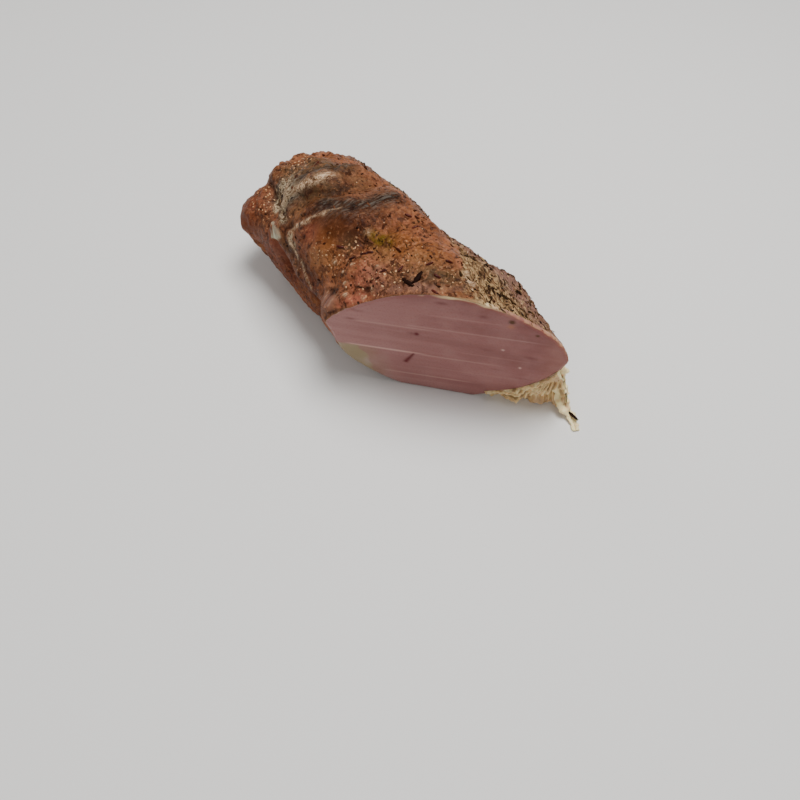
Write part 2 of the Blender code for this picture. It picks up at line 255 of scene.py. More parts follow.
@dataclass(frozen=True)
class CutPlane:
    """The slanting cut: a plane, nearly upright, whose outward side faces +X and -Y."""

    point: Place = (36.4, -7.6, 60.1)
    normal: Place = (0.68, -0.73, -0.07)

    @property
    def out(self) -> Array:
        """Unit vector out of the meat."""
        return unit(np.array(self.normal))

    @property
    def right(self) -> Array:
        """Level unit vector in the plane, to the right as one faces the cut."""
        return unit(np.cross(UP, self.out))

    @property
    def up(self) -> Array:
        """Unit vector in the plane, upwards."""
        return np.cross(self.out, self.right)

    def depth(self, points: Array) -> Array:
        """Distance behind the plane."""
        return (np.array(self.point) - points) @ self.out

    def on_plane(self, points: Array) -> tuple[Array, Array]:
        """Places to the right of and above the plane's point."""
        offset = points - np.array(self.point)
        return offset @ self.right, offset @ self.up


SIDE_FOLD = ((-45.5, -28.2, 45), (-40.5, -29.2, 42), (-34.5, -30.2, 37), (-23.5, -30.2, 33),
             (-13.5, -31.2, 32), (-5.5, -32.7, 36), (0.5, -33.2, 39))
SIDE_GROOVE = tuple((x - 1, y, z - 6.5) for x, y, z in SIDE_FOLD)
KNOB_CREASE = ((-82.5, -12, 27), (-77, -16.5, 35), (-69.5, -19.6, 41.5), (-62.5, -22, 43.5),
               (-51.5, -25.2, 44.5), (-44.5, -28.2, 43.5))
FIRST_BAND = ((-50.5, -23.2, 48), (-42.2, -16.1, 55.6), (-39.5, -9.6, 57.5), (-38.5, -1.2, 58),
              (-39.5, 6.8, 56), (-42.5, 16.8, 48))
BAND_HOLLOW = ((-38.5, -22.2, 51), (-34.9, -13.4, 55.8), (-29.5, -8.1, 57.5), (-25.5, -0.2, 58.3),
               (-26.5, 8.8, 56), (-29.5, 18.8, 48))
SECOND_BAND = ((-33.5, -27.2, 46), (-31.5, -23.1, 51), (-26.8, -15.7, 56.3), (-23.5, -10.2, 57.7),
               (-17.5, -2.2, 58.3), (-15.5, 8.8, 57))
WAIST = ((-9.5, -29.2, 42), (-6.5, -21.2, 52), (-3.5, -12.2, 58), (-1.5, -1.2, 61),
         (-3.5, 10.8, 58))


@dataclass
class MeatForm:
    """The meat's surface as a function of two parameters, with the sizes of the part's source.

    The turn round the meat is 0 on the +Y side, half of pi on the top, pi on the -Y side.
    """

    length: float = 149.0
    width: float = 60.0
    height: float = 61.0
    end_x: float = -80.5
    side_y: float = -3.2
    end_round: float = 18.0
    end_blunt: float = 0.72
    sag: float = 3.0
    fullness_top: float = 1.66
    fullness_low_left: float = 1.95
    fullness_low_right: float = 1.62
    calm_near_cut: float = 22.0
    past_cut: float = 1.12
    middle: Place = (0.0, -1.5, 0.0)
    steps: Range = (0.6, 0.02)
    cut: CutPlane = field(default_factory=CutPlane)
    places: Sizes = (-0.02, 0.075, 0.21, 0.38, 0.51, 0.68, 0.85, 1.02, 1.12)
    left: Sizes = (0.43, 0.45, 0.467, 0.458, 0.475, 0.5, 0.5, 0.5, 0.5)
    right: Sizes = (0.415, 0.445, 0.467, 0.475, 0.483, 0.492, 0.492, 0.467, 0.467)
    top: Sizes = (0.525, 0.72, 0.935, 0.985, 1.0, 1.0, 0.967, 0.918, 0.918)
    widest: Sizes = (0.34, 0.4, 0.475, 0.49, 0.51, 0.54, 0.557, 0.557, 0.557)
    lumps: tuple[Spot, ...] = (
        (-71, -29.8, 29, 8, 6.2), (-72, -13.5, 38.5, 4.5, 2.4), (-14.5, -16.2, 55, 9, 1.6),
        (17.5, -4.2, 61, 11, 1.3), (0.5, 21.8, 46, 7, -1.3), (28, 21.5, 47, 9, 4.2),
        (57, 23, 42, 6, 1), (9, -29.5, 18, 8, 1.5), (-9, -33, 24, 9, -1.9),
    )
    folds: tuple[Chain, ...] = (
        Chain(KNOB_CREASE, 3.2, -3.6),
        Chain(SIDE_FOLD, 3.4, 1.3),
        Chain(SIDE_GROOVE, 3.4, -1.8),
        Chain(FIRST_BAND, 4.2, 1.6),
        Chain(BAND_HOLLOW, 3.4, -2.0),
        Chain(SECOND_BAND, 3.2, 1.2),
        Chain(WAIST, 4.0, -1.1),
    )
    swells: tuple[Swell, ...] = (Swell(3, 40.0, 1.3), Swell(4, 17.0, 0.55))
    lip_height: float = 4.2
    lip_depth: float = 4.0
    lip_centre: Range = (-33.2, 36.0)
    lip_spread: Range = (8.0, 12.0)

    def section_value(self, x: Array, sizes: Sizes) -> Array:
        """One size of the section at x: a smooth cubic through its values at the nine places.

        Args:
            x: Places along the length.
            sizes: The values, as parts of the whole width or height.

        Returns:
            The size at each place.
        """
        places = self.end_x + self.length * np.array(self.places)
        sizes = np.array(sizes)
        slopes = np.gradient(sizes, places)
        index = np.clip(np.searchsorted(places, x) - 1, 0, len(places) - 2)
        step = places[index + 1] - places[index]
        t = np.clip((x - places[index]) / step, 0.0, 1.0)
        start = (2 * t**3 - 3 * t**2 + 1) * sizes[index] + (t**3 - 2 * t**2 + t) * step * slopes[index]
        end = (3 * t**2 - 2 * t**3) * sizes[index + 1] + (t**3 - t**2) * step * slopes[index + 1]
        return start + end

    def tube(self, run: Array, turn: Array) -> Array:
        """Points of the smooth tube.

        Args:
            run: Way along the meat, below 0 on the round end.
            turn: Way round it, in radians.

        Returns:
            Points: a section between an ellipse and a lozenge, closed by a blunt quarter turn at the end.
        """
        angle = np.clip((run + self.end_round) / self.end_round, 0.0, 1.0) * math.pi / 2.0
        rounded = self.end_x + self.end_round * (1.0 - np.cos(angle))
        x = np.where(run < 0.0, rounded, self.end_x + self.end_round + run)
        close = np.sin(angle) ** self.end_blunt
        across = np.cos(turn)
        upward = np.sin(turn)
        sides = np.where(across < 0.0, self.section_value(x, self.left), self.section_value(x, self.right))
        top = self.height * self.section_value(x, self.top)
        widest = self.height * self.section_value(x, self.widest)
        rise = np.where(upward > 0.0, top - widest, widest + self.sag)
        low = np.where(across < 0.0, self.fullness_low_left, self.fullness_low_right)
        fullness = np.where(upward > 0.0, self.fullness_top, low)
        ratio = (np.abs(across) ** fullness + np.abs(upward) ** fullness) ** (-1.0 / fullness)
        y = self.side_y + close * self.width * sides * ratio * across
        z = widest + close * rise * ratio * upward
        return np.stack((x, y, z), axis=-1)

    def outward(self, run: Array, turn: Array) -> Array:
        """Unit vectors out of the smooth tube: the cross product of its two tangents.

        Args:
            run: Way along the meat.
            turn: Way round it, in radians.

        Returns:
            The vectors.
        """
        run = np.maximum(run, 1.0 - self.end_round)
        forward, onward = self.steps
        along = self.tube(run + forward, turn) - self.tube(run - forward, turn)
        around = self.tube(run, turn + onward) - self.tube(run, turn - onward)
        return unit(np.cross(around, along))

    def lip(self, points: Array, depth: Array) -> Array:
        """Height of the lip of crust behind the left tip of the cut: a bell curve in three directions.

        Args:
            points: The points.
            depth: Distance of each behind the cut.

        Returns:
            Height at each point.
        """
        behind = ((depth - self.lip_depth) / self.lip_depth) ** 2
        sideways = ((points[..., 1] - self.lip_centre[0]) / self.lip_spread[0]) ** 2
        upward = ((points[..., 2] - self.lip_centre[1]) / self.lip_spread[1]) ** 2
        return self.lip_height * np.exp(-behind - sideways - upward)

    def relief(self, points: Array) -> Array:
        """Height of the meat over the smooth tube: swell, lumps, folds and the lip.

        Args:
            points: Points of the smooth tube.

        Returns:
            Height at each point.
        """
        depth = self.cut.depth(points)
        calm = ramp(depth, 0.0, self.calm_near_cut)
        height = calm * sum(swell.height_at(points) for swell in self.swells)
        height = height + sum(spot_height(lump, points) for lump in self.lumps)
        height = height + sum(fold.height_at(points) for fold in self.folds)
        return height + self.lip(points, depth)

    def skin(self, run: Array, turn: Array) -> Array:
        """Points of the meat's surface with its main forms, before the cut and the flat underside."""
        points = self.tube(run, turn)
        return points + self.outward(run, turn) * self.relief(points)[..., None]

    def stand(self, x: Array, y: Array, part: Range, count: int) -> tuple[Array, Array]:
        """Find where given places stand on the meat: the turn whose point comes nearest to each Y.

        Args:
            x: Places along the length.
            y: Places across it.
            part: Range of the turns that are tried, in parts of pi.
            count: Number of turns that are tried.

        Returns:
            Run and turn of each place.
        """
        run = x - self.end_x - self.end_round
        turns = math.pi * np.linspace(*part, count)
        lines = self.skin(*np.meshgrid(run, turns, indexing="ij"))
        return run, turns[np.argmin(np.abs(lines[..., 1] - y[:, None]), axis=1)]

    def placed(self, points: Array) -> Array:
        """Points in the part's frame, in metres."""
        return (points - np.array(self.middle)) * MM


@dataclass(frozen=True)
class Zone:
    """A part of the crust with its own look: spots and lines whose strengths add up, to 1 at the most."""

    spots: tuple[Spot, ...]
    lines: tuple[Chain, ...] = ()

    def strength(self, points: Array) -> Array:
        """Strength at each point, from 0 to 1."""
        heights = [spot_height(spot, points) for spot in self.spots]
        return np.clip(sum(heights + [line.height_at(points) for line in self.lines]), 0.0, 1.0)


# The parts of the crust, each with its spots (x, y, z, spread and strength) and its lines
ZONES = {
    # Grey-white silverskin over the back and along the left side
    "silver": Zone(
        ((-56, -18.5, 45, 4, 0.7), (-49, -19.5, 50, 4, 0.8), (-44.5, -21.5, 50, 3.4, 0.8),
         (-43, -17.5, 54, 3, 0.7)),
        (Chain(((-54, -21.5, 42), (-48, -23.5, 45.5), (-42, -25, 47), (-36, -27.5, 44)), 2.2, 0.8),
         Chain(((-34.5, -27.8, 43.5), (-31, -28.8, 41), (-25.5, -29.3, 41.5), (-20, -30, 41),
                (-13, -31, 39), (-6, -32, 39)), 2.2, 0.75),
         Chain(((-30, -16.5, 56.5), (-25, -14.5, 58), (-20.5, -11.5, 59.4), (-17, -9, 60),
                (-14.5, -4, 60.5), (-13.5, 4, 60), (-15, 12, 56)), 4.8, 1, 0.06),
         Chain(((-50, -13.5, 53), (-46, -11, 56), (-43, -8, 58), (-41, 0, 59), (-42, 9, 56)), 4, 0.8)),
    ),
    # Cream lines of tendon and fat, and small cream spots that are painted glints
    "pale": Zone(
        ((38, 19, 51.2, 1, 0.8), (-51.5, -17.7, 48.9, 1.3, 0.9), (-47.2, -19.9, 50.5, 1.3, 0.8),
         (-45.2, -22.3, 48.6, 1.3, 0.9), (-21.4, -17.6, 57.5, 0.8, 0.5), (-4.4, -9.9, 57.1, 0.8, 0.75),
         # Painted glints: the small cream spots on this line and the next two
         (7.3, -27.7, 46.8, 0.55, 1), (10.6, -30.1, 43.5, 0.45, 1), (14.7, -24.8, 49.9, 0.45, 0.9),
         (3.8, -25.5, 48.2, 0.5, 1), (0, -23.7, 49.4, 0.4, 0.9), (15.6, -21.6, 53.1, 0.6, 1),
         (10.4, -15.9, 56.4, 0.6, 1), (1.7, -20.8, 52.6, 0.5, 0.9), (-6.5, -23.5, 48.8, 0.6, 1)),
        (Chain(((-45, -19.5, 51.5), (-42.9, -17.4, 54), (-39.6, -14.5, 57.1), (-37.3, -11.2, 59.2),
                (-36.4, -8.2, 59.8), (-35.5, -2, 60.2)), 1.5, 1.3, 0.25),
         Chain(((-24.4, -21.7, 54.4), (-27.9, -24.3, 51.3), (-31.7, -25.9, 47.4), (-33.6, -27.4, 43.7),
                (-32.3, -28.2, 42.1), (-28.2, -29, 41.1), (-24.8, -29.4, 41), (-22.8, -30.2, 39.3)),
               0.75, 1, 0.04),
         Chain(((-26.5, -22.7, 53.4), (-24, -20.1, 55.8), (-22, -17.5, 57.5), (-20, -14.5, 59),
                (-18.4, -11, 59.8)), 0.5, 0.55),
         Chain(((-54, -22, 41.5), (-47, -24, 45.5), (-40, -26.5, 45.8)), 0.7, 0.7),
         Chain(((-22, -29.5, 41.8), (-18.9, -30.2, 38.4), (-16, -30.6, 35.1), (-12, -31, 33)), 0.7, 0.7),
         Chain(((3.8, -34.4, 38), (3.8, -32.7, 41.2), (3.4, -30.6, 43.3), (3.6, -28.4, 45.2)), 0.45, 0.22),
         Chain(((-0.6, -33.5, 37.1), (-1.6, -30.8, 39.8), (-2.4, -28.9, 41.7)), 0.45, 0.35),
         Chain(((33, 5.1, 60.2), (34.5, 3.4, 60.1), (36.5, 3.1, 59.7), (38.6, 4.1, 59)), 0.8, 1.2, 0.03)),
    ),
    # Mauve-brown parts: the lip, a strip along the cut and the left flank
    "mauve": Zone(
        ((2.5, -31.5, 41, 3, 1), (-1, -31.5, 39, 2.5, 0.8), (12, -18.5, 55, 3, 0.5)),
        (Chain(((-60, -31, 30.5), (-52, -31.4, 30.4), (-44, -31.3, 30), (-37, -30.2, 26)), 3, 0.6),
         Chain(((16, -22, 51.5), (21, -17.5, 55), (28, -11.5, 58.6), (34, -6, 60.3)), 2.2, 0.8),
         Chain(((-32, -30.5, 37), (-27, -31, 34.5), (-22, -31.5, 33.5)), 2.5, 0.7)),
    ),
    # Pale web with brown pits between its threads, on the shoulder beside the knob
    "web": Zone(
        ((-56, -18.5, 45, 3.4, 1.1), (-50, -18, 50.5, 3.4, 1.1), (-47, -21, 49, 3, 1.1)),
        (Chain(((-61.5, -17.2, 43.3), (-59, -19.1, 40.6), (-54.6, -21.7, 39.8), (-50.5, -24.4, 39.9)),
               1.3, 1),
         Chain(((-54, -21, 42.5), (-50, -23, 44.5), (-44, -24.5, 46.5), (-38, -27, 45)), 2, 1),
         Chain(((-32.5, -26.8, 45.5), (-31.2, -28, 43), (-27, -28.8, 42.5)), 1.6, 0.9)),
    ),
    # The broad smooth streak of tendon beside the knob
    "streak": Zone(
        (),
        (Chain(((-47.5, -27.4, 40), (-45.6, -28.8, 37.2), (-44, -30.2, 35)), 0.75, 1.6, 0.06),
         Chain(((-44.4, -27.8, 42), (-43.3, -29.2, 39.4), (-42.4, -29.7, 35.6)), 1, 1.6, 0.06),
         Chain(((-41.5, -28.2, 42.8), (-40, -29.4, 39.6), (-38.9, -30, 37.8)), 1.2, 1.6, 0.06),
         Chain(((-40, -28.6, 42.6), (-37.7, -30.2, 39.6)), 0.9, 1.6, 0.06)),
    ),
    # Painted shade in creases, cracks, holes and hollows, with a few dark marks of the crust
    "dark": Zone(
        ((0.4, -28.9, 43.1, 1.2, 1.4), (14.1, -22.7, 52, 0.9, 1.5), (-34.4, -25.9, 46.6, 1.3, 1.2),
         (-62.6, -14.8, 45.2, 1.6, 0.7), (-59.7, -17.8, 43.3, 0.8, 1), (-43.8, -26.8, 44.1, 0.8, 0.9),
         (-36.5, -23.1, 49.3, 0.7, 1), (-34.8, -19.7, 52.2, 0.6, 0.9), (-15.3, -9.7, 60, 0.9, 1),
         (-62, -23.1, 39.4, 0.9, 0.9), (-70, -15.5, 41.5, 2, 0.9), (-5.4, -30.5, 37.8, 0.9, 0.9),
         (30.3, -8.7, 60.1, 0.8, 0.9), (28.2, -5.2, 61.3, 0.8, 0.7), (-6, -14, 56.5, 2.5, 0.4)),
        (Chain(KNOB_CREASE, 1.8, 0.9, 0.05),
         Chain(((-69.4, -17.7, 40.2), (-65.1, -17.9, 41), (-61.4, -18.9, 40.4), (-56.5, -22, 39.4)), 1.4, 1),
         Chain(((-38.4, -16.1, 54.1), (-34.2, -13.5, 55.7), (-31.3, -10.8, 56.3), (-29, -8, 57),
                (-29, 0, 58), (-31, 9, 56)), 1.4, 0.7),
         Chain(((-34.4, -25.9, 46.6), (-36, -27.3, 44.3), (-35.4, -29, 41.5), (-31.6, -29.8, 38.8),
                (-27.1, -30.3, 38)), 0.8, 0.9, 0.03),
         Chain(((-17, -31.7, 34.5), (-11.4, -31.8, 34.2), (-6, -32.4, 34.8), (-1, -33.5, 34)), 1.2, 0.9),
         Chain(((2, -34, 37.5), (5, -33.2, 39), (8.5, -32, 41)), 0.7, 0.8),
         Chain(((5.5, -27.2, 47), (8, -25.4, 49.2), (11.5, -23.2, 51.5)), 0.5, 0.8),
         Chain(((1.2, -34, 37.8), (1, -31.8, 40.4), (0.6, -29.4, 42.8)), 0.5, 0.8),
         Chain(((4.3, -34.2, 38.1), (6.6, -32.9, 40.5), (8.8, -31.1, 42.5), (11.2, -29.6, 44.2)), 0.4, 0.6),
         Chain(((10.8, -29, 43.2), (13, -27.6, 44.6), (16, -25.8, 46.8)), 0.6, 0.8),
         Chain(((-33, -19.5, 53.4), (-29, -17.5, 56.2), (-25, -15.8, 58), (-20.5, -12.8, 59.3)), 0.6, 0.7),
         Chain(((-31, -21, 52.6), (-26, -19.5, 55.6), (-22.6, -15.5, 58.3), (-18.6, -12, 59.7)), 0.5, 0.6)),
    ),
    # Smooth dark brown parts, partly painted shadow over the top by the waist and the band hollow, and
    # painted shade on the left flank
    "umber": Zone(
        ((-18.5, -17, 57.5, 3, 0.9), (-14.5, -12.5, 59.5, 2.5, 0.9), (-34.5, -17.8, 53.6, 3.2, 1),
         (-29, -16, 56.3, 3, 0.9), (-26.5, -22.8, 52.8, 3.2, 1), (-4, -17.5, 53.5, 4, 0.8),
         (19.5, -12.5, 58.8, 3, 0.7), (27.5, -3.5, 61.3, 2.8, 0.7), (-13, -17.5, 57, 4, 1),
         (-9.5, -12.5, 57.5, 4, 1), (-22.5, -24.5, 51, 3.5, 0.6), (-33.5, -11.5, 57, 3.5, 1),
         (-36, -15.5, 55, 2.5, 0.6), (-29.5, -10, 57, 3, 0.9), (-27, -20, 53.5, 4, 0.6),
         (-8, -4, 58, 5, 0.7), (-34, -30, 33, 5, 0.6), (-22, -31, 30, 5, 0.7), (-43, -12, 57, 3, 0.5)),
        (Chain(((-37, -18.5, 52.5), (-33.9, -13.5, 55.5), (-30, -9, 57), (-28, 0, 58)), 4, 0.7),),
    ),
    # Dull grey-brown parts over the shoulder
    "dull": Zone(
        ((-53, -18, 47, 5, 0.9), (-62, -10, 47.5, 6, 0.6), (1.5, -31.8, 40.3, 1.6, 0.3),
         (-55, -11.5, 51, 5, 0.7), (-52, -4, 54, 6, 0.7), (-46, -15, 54, 5, 0.9), (-40, -20, 52, 4, 0.5),
         (-36, -24, 48, 3.5, 0.5), (34.5, 0.5, 60.5, 3.2, 0.9), (28.5, -5, 61.4, 3.5, 0.6),
         (-35, -12, 56.5, 4.5, 0.8), (-42, 0, 58.5, 7, 0.8), (-27, 2, 59.5, 6, 0.6),
         (-22, -13, 58, 3.5, 0.7), (23, -12, 59, 4.5, 0.7), (30, -7, 60.5, 3.5, 0.5), (15, -16, 57, 4, 0.4),
         (-6, -17.5, 54, 2.5, 0.7), (-52, -28, 34, 4, 0.6)),
        (Chain(((-38, -29.5, 40), (-30, -30, 37), (-20, -30.8, 36)), 3, 0.7),),
    ),
    # Pink-red parts next to the cut
    "rose": Zone(
        ((10.5, -21.5, 52, 4.5, 0.75), (-44, -31, 31, 5, 0.4), (-22, -24, 51.5, 3, 0.4)),
        (Chain(((6, -31.3, 42.5), (8.5, -29.5, 44.5), (11, -27.5, 46.8), (16, -24, 50.5)), 1.8, 0.9),),
    ),
    # Orange-brown, well roasted parts
    "orange": Zone(
        ((7.4, -6.3, 60.8, 2.8, 0.8), (11.5, -6.2, 61.2, 3.2, 0.9), (16.5, -3.5, 61.8, 4, 0.9),
         (21.7, -1, 62.3, 4, 0.8), (-10, -24.5, 50, 4.5, 0.7), (-36, -12.5, 57, 3, 0.8),
         (-57, -12, 49.5, 4, 0.5)),
        (Chain(((-30, -29, 21.5), (-25, -28.7, 21), (-19.5, -28.6, 21), (-14, -28.5, 20.8)), 2.2, 0.9),),
    ),
    # Tan, paler roasted parts
    "tan": Zone(
        ((18, -5.8, 61.4, 3, 0.9), (-38.5, -22.5, 49.5, 2.6, 0.7), (-33, -22, 51.5, 2.4, 0.7),
         (-46, -9, 57, 3, 0.5), (27, -4, 61.5, 4, 0.5), (-11.5, -26.3, 47.5, 3.2, 1),
         (-15.5, -27.5, 45.5, 2.5, 0.8), (8.5, -12.5, 58, 2.5, 0.7), (-0.5, -30.5, 41.2, 2.6, 0.8),
         (34, -4, 60.5, 3, 0.5), (-64, -11, 46.5, 3.5, 0.5)),
        (Chain(((1, -12.2, 56.4), (4, -12, 56.8), (7.4, -11.8, 57.3), (12.9, -12.2, 58.3)), 1.8, 0.9),),
    ),
    # An olive-green stain of herbs and oil
    "olive": Zone(
        ((-1.5, -9.8, 57.2, 1.8, 0.8), (1.3, -8.9, 58, 2.2, 1), (5.5, -8.5, 59.2, 2.2, 0.9)),
    ),
    # Red-brown parts: the knob, the left flank and the plates behind the lip
    "ruddy": Zone(
        ((-66, -28.5, 32, 8, 1), (-46, -31, 30, 8, 0.9), (-30, -30, 27, 9, 0.9), (-18, -29.5, 42.5, 3, 0.5),
         (-21, -26, 50, 4.5, 0.7), (-14, -31, 24, 8, 0.8), (-14, -30.5, 36, 4, 0.7), (15, -20, 54, 7, 0.4)),
    ),
    # Parts with few herbs and little grain
    "smooth": Zone(
        ((-17, -20, 54.5, 6.5, 1), (-9, -15, 56, 4, 0.7), (-66, -31, 28, 8, 0.9), (-31, -21.5, 52.5, 3, 0.4),
         (2, -31.5, 41, 3.5, 0.9), (-38, -14, 56.5, 3, 0.8)),
        (Chain(SIDE_GROOVE, 6, 0.9),
         Chain(((3.6, -31.5, 40), (10.6, -26, 46.5), (18.6, -19.5, 53), (26.6, -12.5, 58),
                (34.6, -5.5, 60.2), (41, 1, 59.8)), 2.6, 0.65, 0.05)),
    ),
    # Where the painted golden glints gather, and pale bits lie close together
    "glints": Zone(
        ((-62.5, -24.5, 39, 4.5, 1.3), (-56.5, -25, 39, 3, 0.9), (-61, -7.5, 48.5, 5, 0.9),
         (-63, -1, 48, 5, 0.8), (-11, -23, 51, 5, 0.9), (-4, -18, 53.5, 4.5, 0.8), (12, -8, 60, 5, 0.35),
         (20, -16, 57, 7, 0.6), (33, -3, 61, 4, 0.6), (-57, -13, 49, 4, 0.6), (8, -28.5, 45.5, 4, 0.25),
         (14, -24, 51, 3.5, 0.35)),
    ),
}


@dataclass
class CrustMap:
    """Where the crust changes: strengths from 0 to 1 at points of the surface."""

    form: MeatForm
    fat_edge_x: Sizes = (-75, -20, 8, 18, 27, 34, 40, 60)
    fat_edge_y: Sizes = (17, 15, 15, 12, 6, 0.6, -2.2, -2.2)
    fat_soft: float = 2.6
    fat_foot: Range = (24.0, 14.0)
    fat_low: float = 0.3
    foot_wander: float = 4.0
    outer_rise: Range = (12.0, 9.0)
    front_rise: Range = (-16.0, 14.0)
    wander: Swell = Swell(21, 5.0, 1.1)

    def fat(self, points: Array) -> Array:
        """The pale fatty side: right of a line that wanders along the top, fading out low on the side.

        Args:
            points: The points.

        Returns:
            Strength at each point.
        """
        edge = np.interp(points[..., 0], self.fat_edge_x, self.fat_edge_y)
        wander = self.wander.height_at(points)
        foot = ramp(points[..., 2] + self.foot_wander * wander, *self.fat_foot)
        inner = ramp(points[..., 1] - edge + wander, 0.0, self.fat_soft)
        return inner * (self.fat_low + (1.0 - self.fat_low) * foot)

    def outer(self, points: Array) -> Array:
        """The purplish lower part of the fatty side."""
        return ramp(points[..., 1], *self.outer_rise)

    def front(self, points: Array) -> Array:
        """The well seasoned part between the waist and the cut."""
        return ramp(points[..., 0], *self.front_rise)


def put(name: str, data: bpy.types.ID) -> bpy.types.Object:
    """Make an object of a mesh, a light or a camera, and link it to the scene.

    Args:
        name: Name of the object.
        data: Its mesh, light or camera.

    Returns:
        The object, at the origin.
    """
    made = bpy.data.objects.new(name, data)
    bpy.context.scene.collection.objects.link(made)
    return made


@dataclass
class Piece:
    """A mesh being put together from arrays. Values and the wrap may leave out the last points."""

    name: str
    points: Array
    faces: list[list[int]]
    values: dict[str, Array]
    wrap: tuple[Array, Array] | None = None

    def layer(self, mesh: bpy.types.Mesh, name: str, kind: str, field_name: str, values: Array) -> None:
        """Store an attribute of the points, filled up with zeros.

        Args:
            mesh: The mesh.
            name: Name of the attribute.
            kind: Its type.
            field_name: Name of its data field.
            values: Its values, point by point.
        """
        full = np.zeros((len(self.points), values.shape[-1]), np.float32)
        full[:len(values)] = values
        mesh.attributes.new(name, kind, "POINT").data.foreach_set(field_name, full.ravel())

    def build(self, material: Material, slot: Slot) -> bpy.types.Object:
        """Make the object, with its attributes and material, riding on the part's body.

        Args:
            material: The piece's material.
            slot: The record's slot that the finish belongs to. Not used.

        Returns:
            The finished object.
        """
        mesh = bpy.data.meshes.new(self.name)
        mesh.from_pydata(self.points.tolist(), [], self.faces)
        for name, values in self.values.items():
            self.layer(mesh, name, "FLOAT", "value", values.reshape(-1, 1))
        if self.wrap is not None:
            across, along = (way.ravel() * MM for way in self.wrap)
            vectors = np.stack((across, along, 0.0 * along), axis=-1)
            self.layer(mesh, "wrap", "FLOAT_VECTOR", "vector", vectors)
        mesh.polygons.foreach_set("use_smooth", np.full(len(mesh.polygons), True))
        mesh.update()
        mesh.materials.append(material)
        made = put(self.name, mesh)
        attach(made, BODY)
        triangles = sum(len(face) - 2 for face in self.faces)
        LOG.info("%s: %d points, %d triangles", self.name, len(self.points), triangles)
        return made


def grid_faces(rows: int, columns: int) -> Array:
    """Quads of a grid of points stored row by row, whose last column joins the first.

    Args:
        rows: Number of rows.
        columns: Points in a row.

    Returns:
        Four indices for each quad.
    """
    row, column = np.meshgrid(np.arange(rows - 1), np.arange(columns), indexing="ij")
    after = (column + 1) % columns
    start = row * columns
    quads = (start + column, start + after, start + columns + after, start + columns + column)
    return np.stack(quads, axis=-1).reshape(-1, 4)


def fan_faces(first: int, columns: int, hub: int, outward: bool) -> Array:
    """Triangles from a hub point to a ring of points that starts at the first index.

    Args:
        first: Index of the first point of the ring.
        columns: Points in the ring.
        hub: Index of the hub.
        outward: Whether the fan faces against the order of the rings.

    Returns:
        Three indices for each triangle.
    """
    column = np.arange(columns)
    ring = first + column
    after = first + (column + 1) % columns
    pair = (after, ring) if outward else (ring, after)
    return np.stack((np.full(columns, hub), *pair), axis=-1)


def capped_tube(rings: Array, hubs: Array | None = None) -> tuple[Array, list[list[int]]]:
    """A tube through rings of points, closed by a fan at both ends.

    Args:
        rings: The rings, row by row.
        hubs: Middles of the first and the last fan, or the means of the end rings.

    Returns:
        Points, the two hubs last, and faces.
    """
    rows, columns = rings.shape[:2]
    if hubs is None:
        hubs = rings[[0, -1]].mean(axis=1)
    last = rows * columns
    faces = grid_faces(rows, columns).tolist()
    faces += fan_faces(0, columns, last, outward=True).tolist()
    faces += fan_faces(last - columns, columns, last + 1, outward=False).tolist()
    return np.vstack((rings.reshape(-1, 3), hubs)), faces


@dataclass
class Signal:
    """A number or a vector that the nodes of one material work out."""

    board: "NodeBoard"
    socket: bpy.types.NodeSocket

    def __mul__(self, other: object) -> "Signal":
        """The product with another signal or a number."""
        return self.board.math("MULTIPLY", self, other)

    def __add__(self, other: object) -> "Signal":
        """The sum with another signal or a number."""
        return self.board.math("ADD", self, other)

    def __sub__(self, other: object) -> "Signal":
        """The difference from another signal or a number."""
        return self.board.math("SUBTRACT", self, other)

    def span(self, low: float, high: float, first: float = 0.0, last: float = 1.0) -> "Signal":
        """Carry the value smoothly from one range to another, and hold it at the ends.

        Args:
            low: Value that becomes the first one.
            high: Value that becomes the last one, above or below the low one.
            first: Result at the low value.
            last: Result at the high value.

        Returns:
            The carried value.
        """
        if low > high:
            low, high, first, last = high, low, last, first
        inputs = {"Value": self, "From Min": low, "From Max": high, "To Min": first, "To Max": last}
        return self.board.node("MapRange", "Result", inputs, interpolation_type="SMOOTHSTEP")


Tint = tuple | Signal


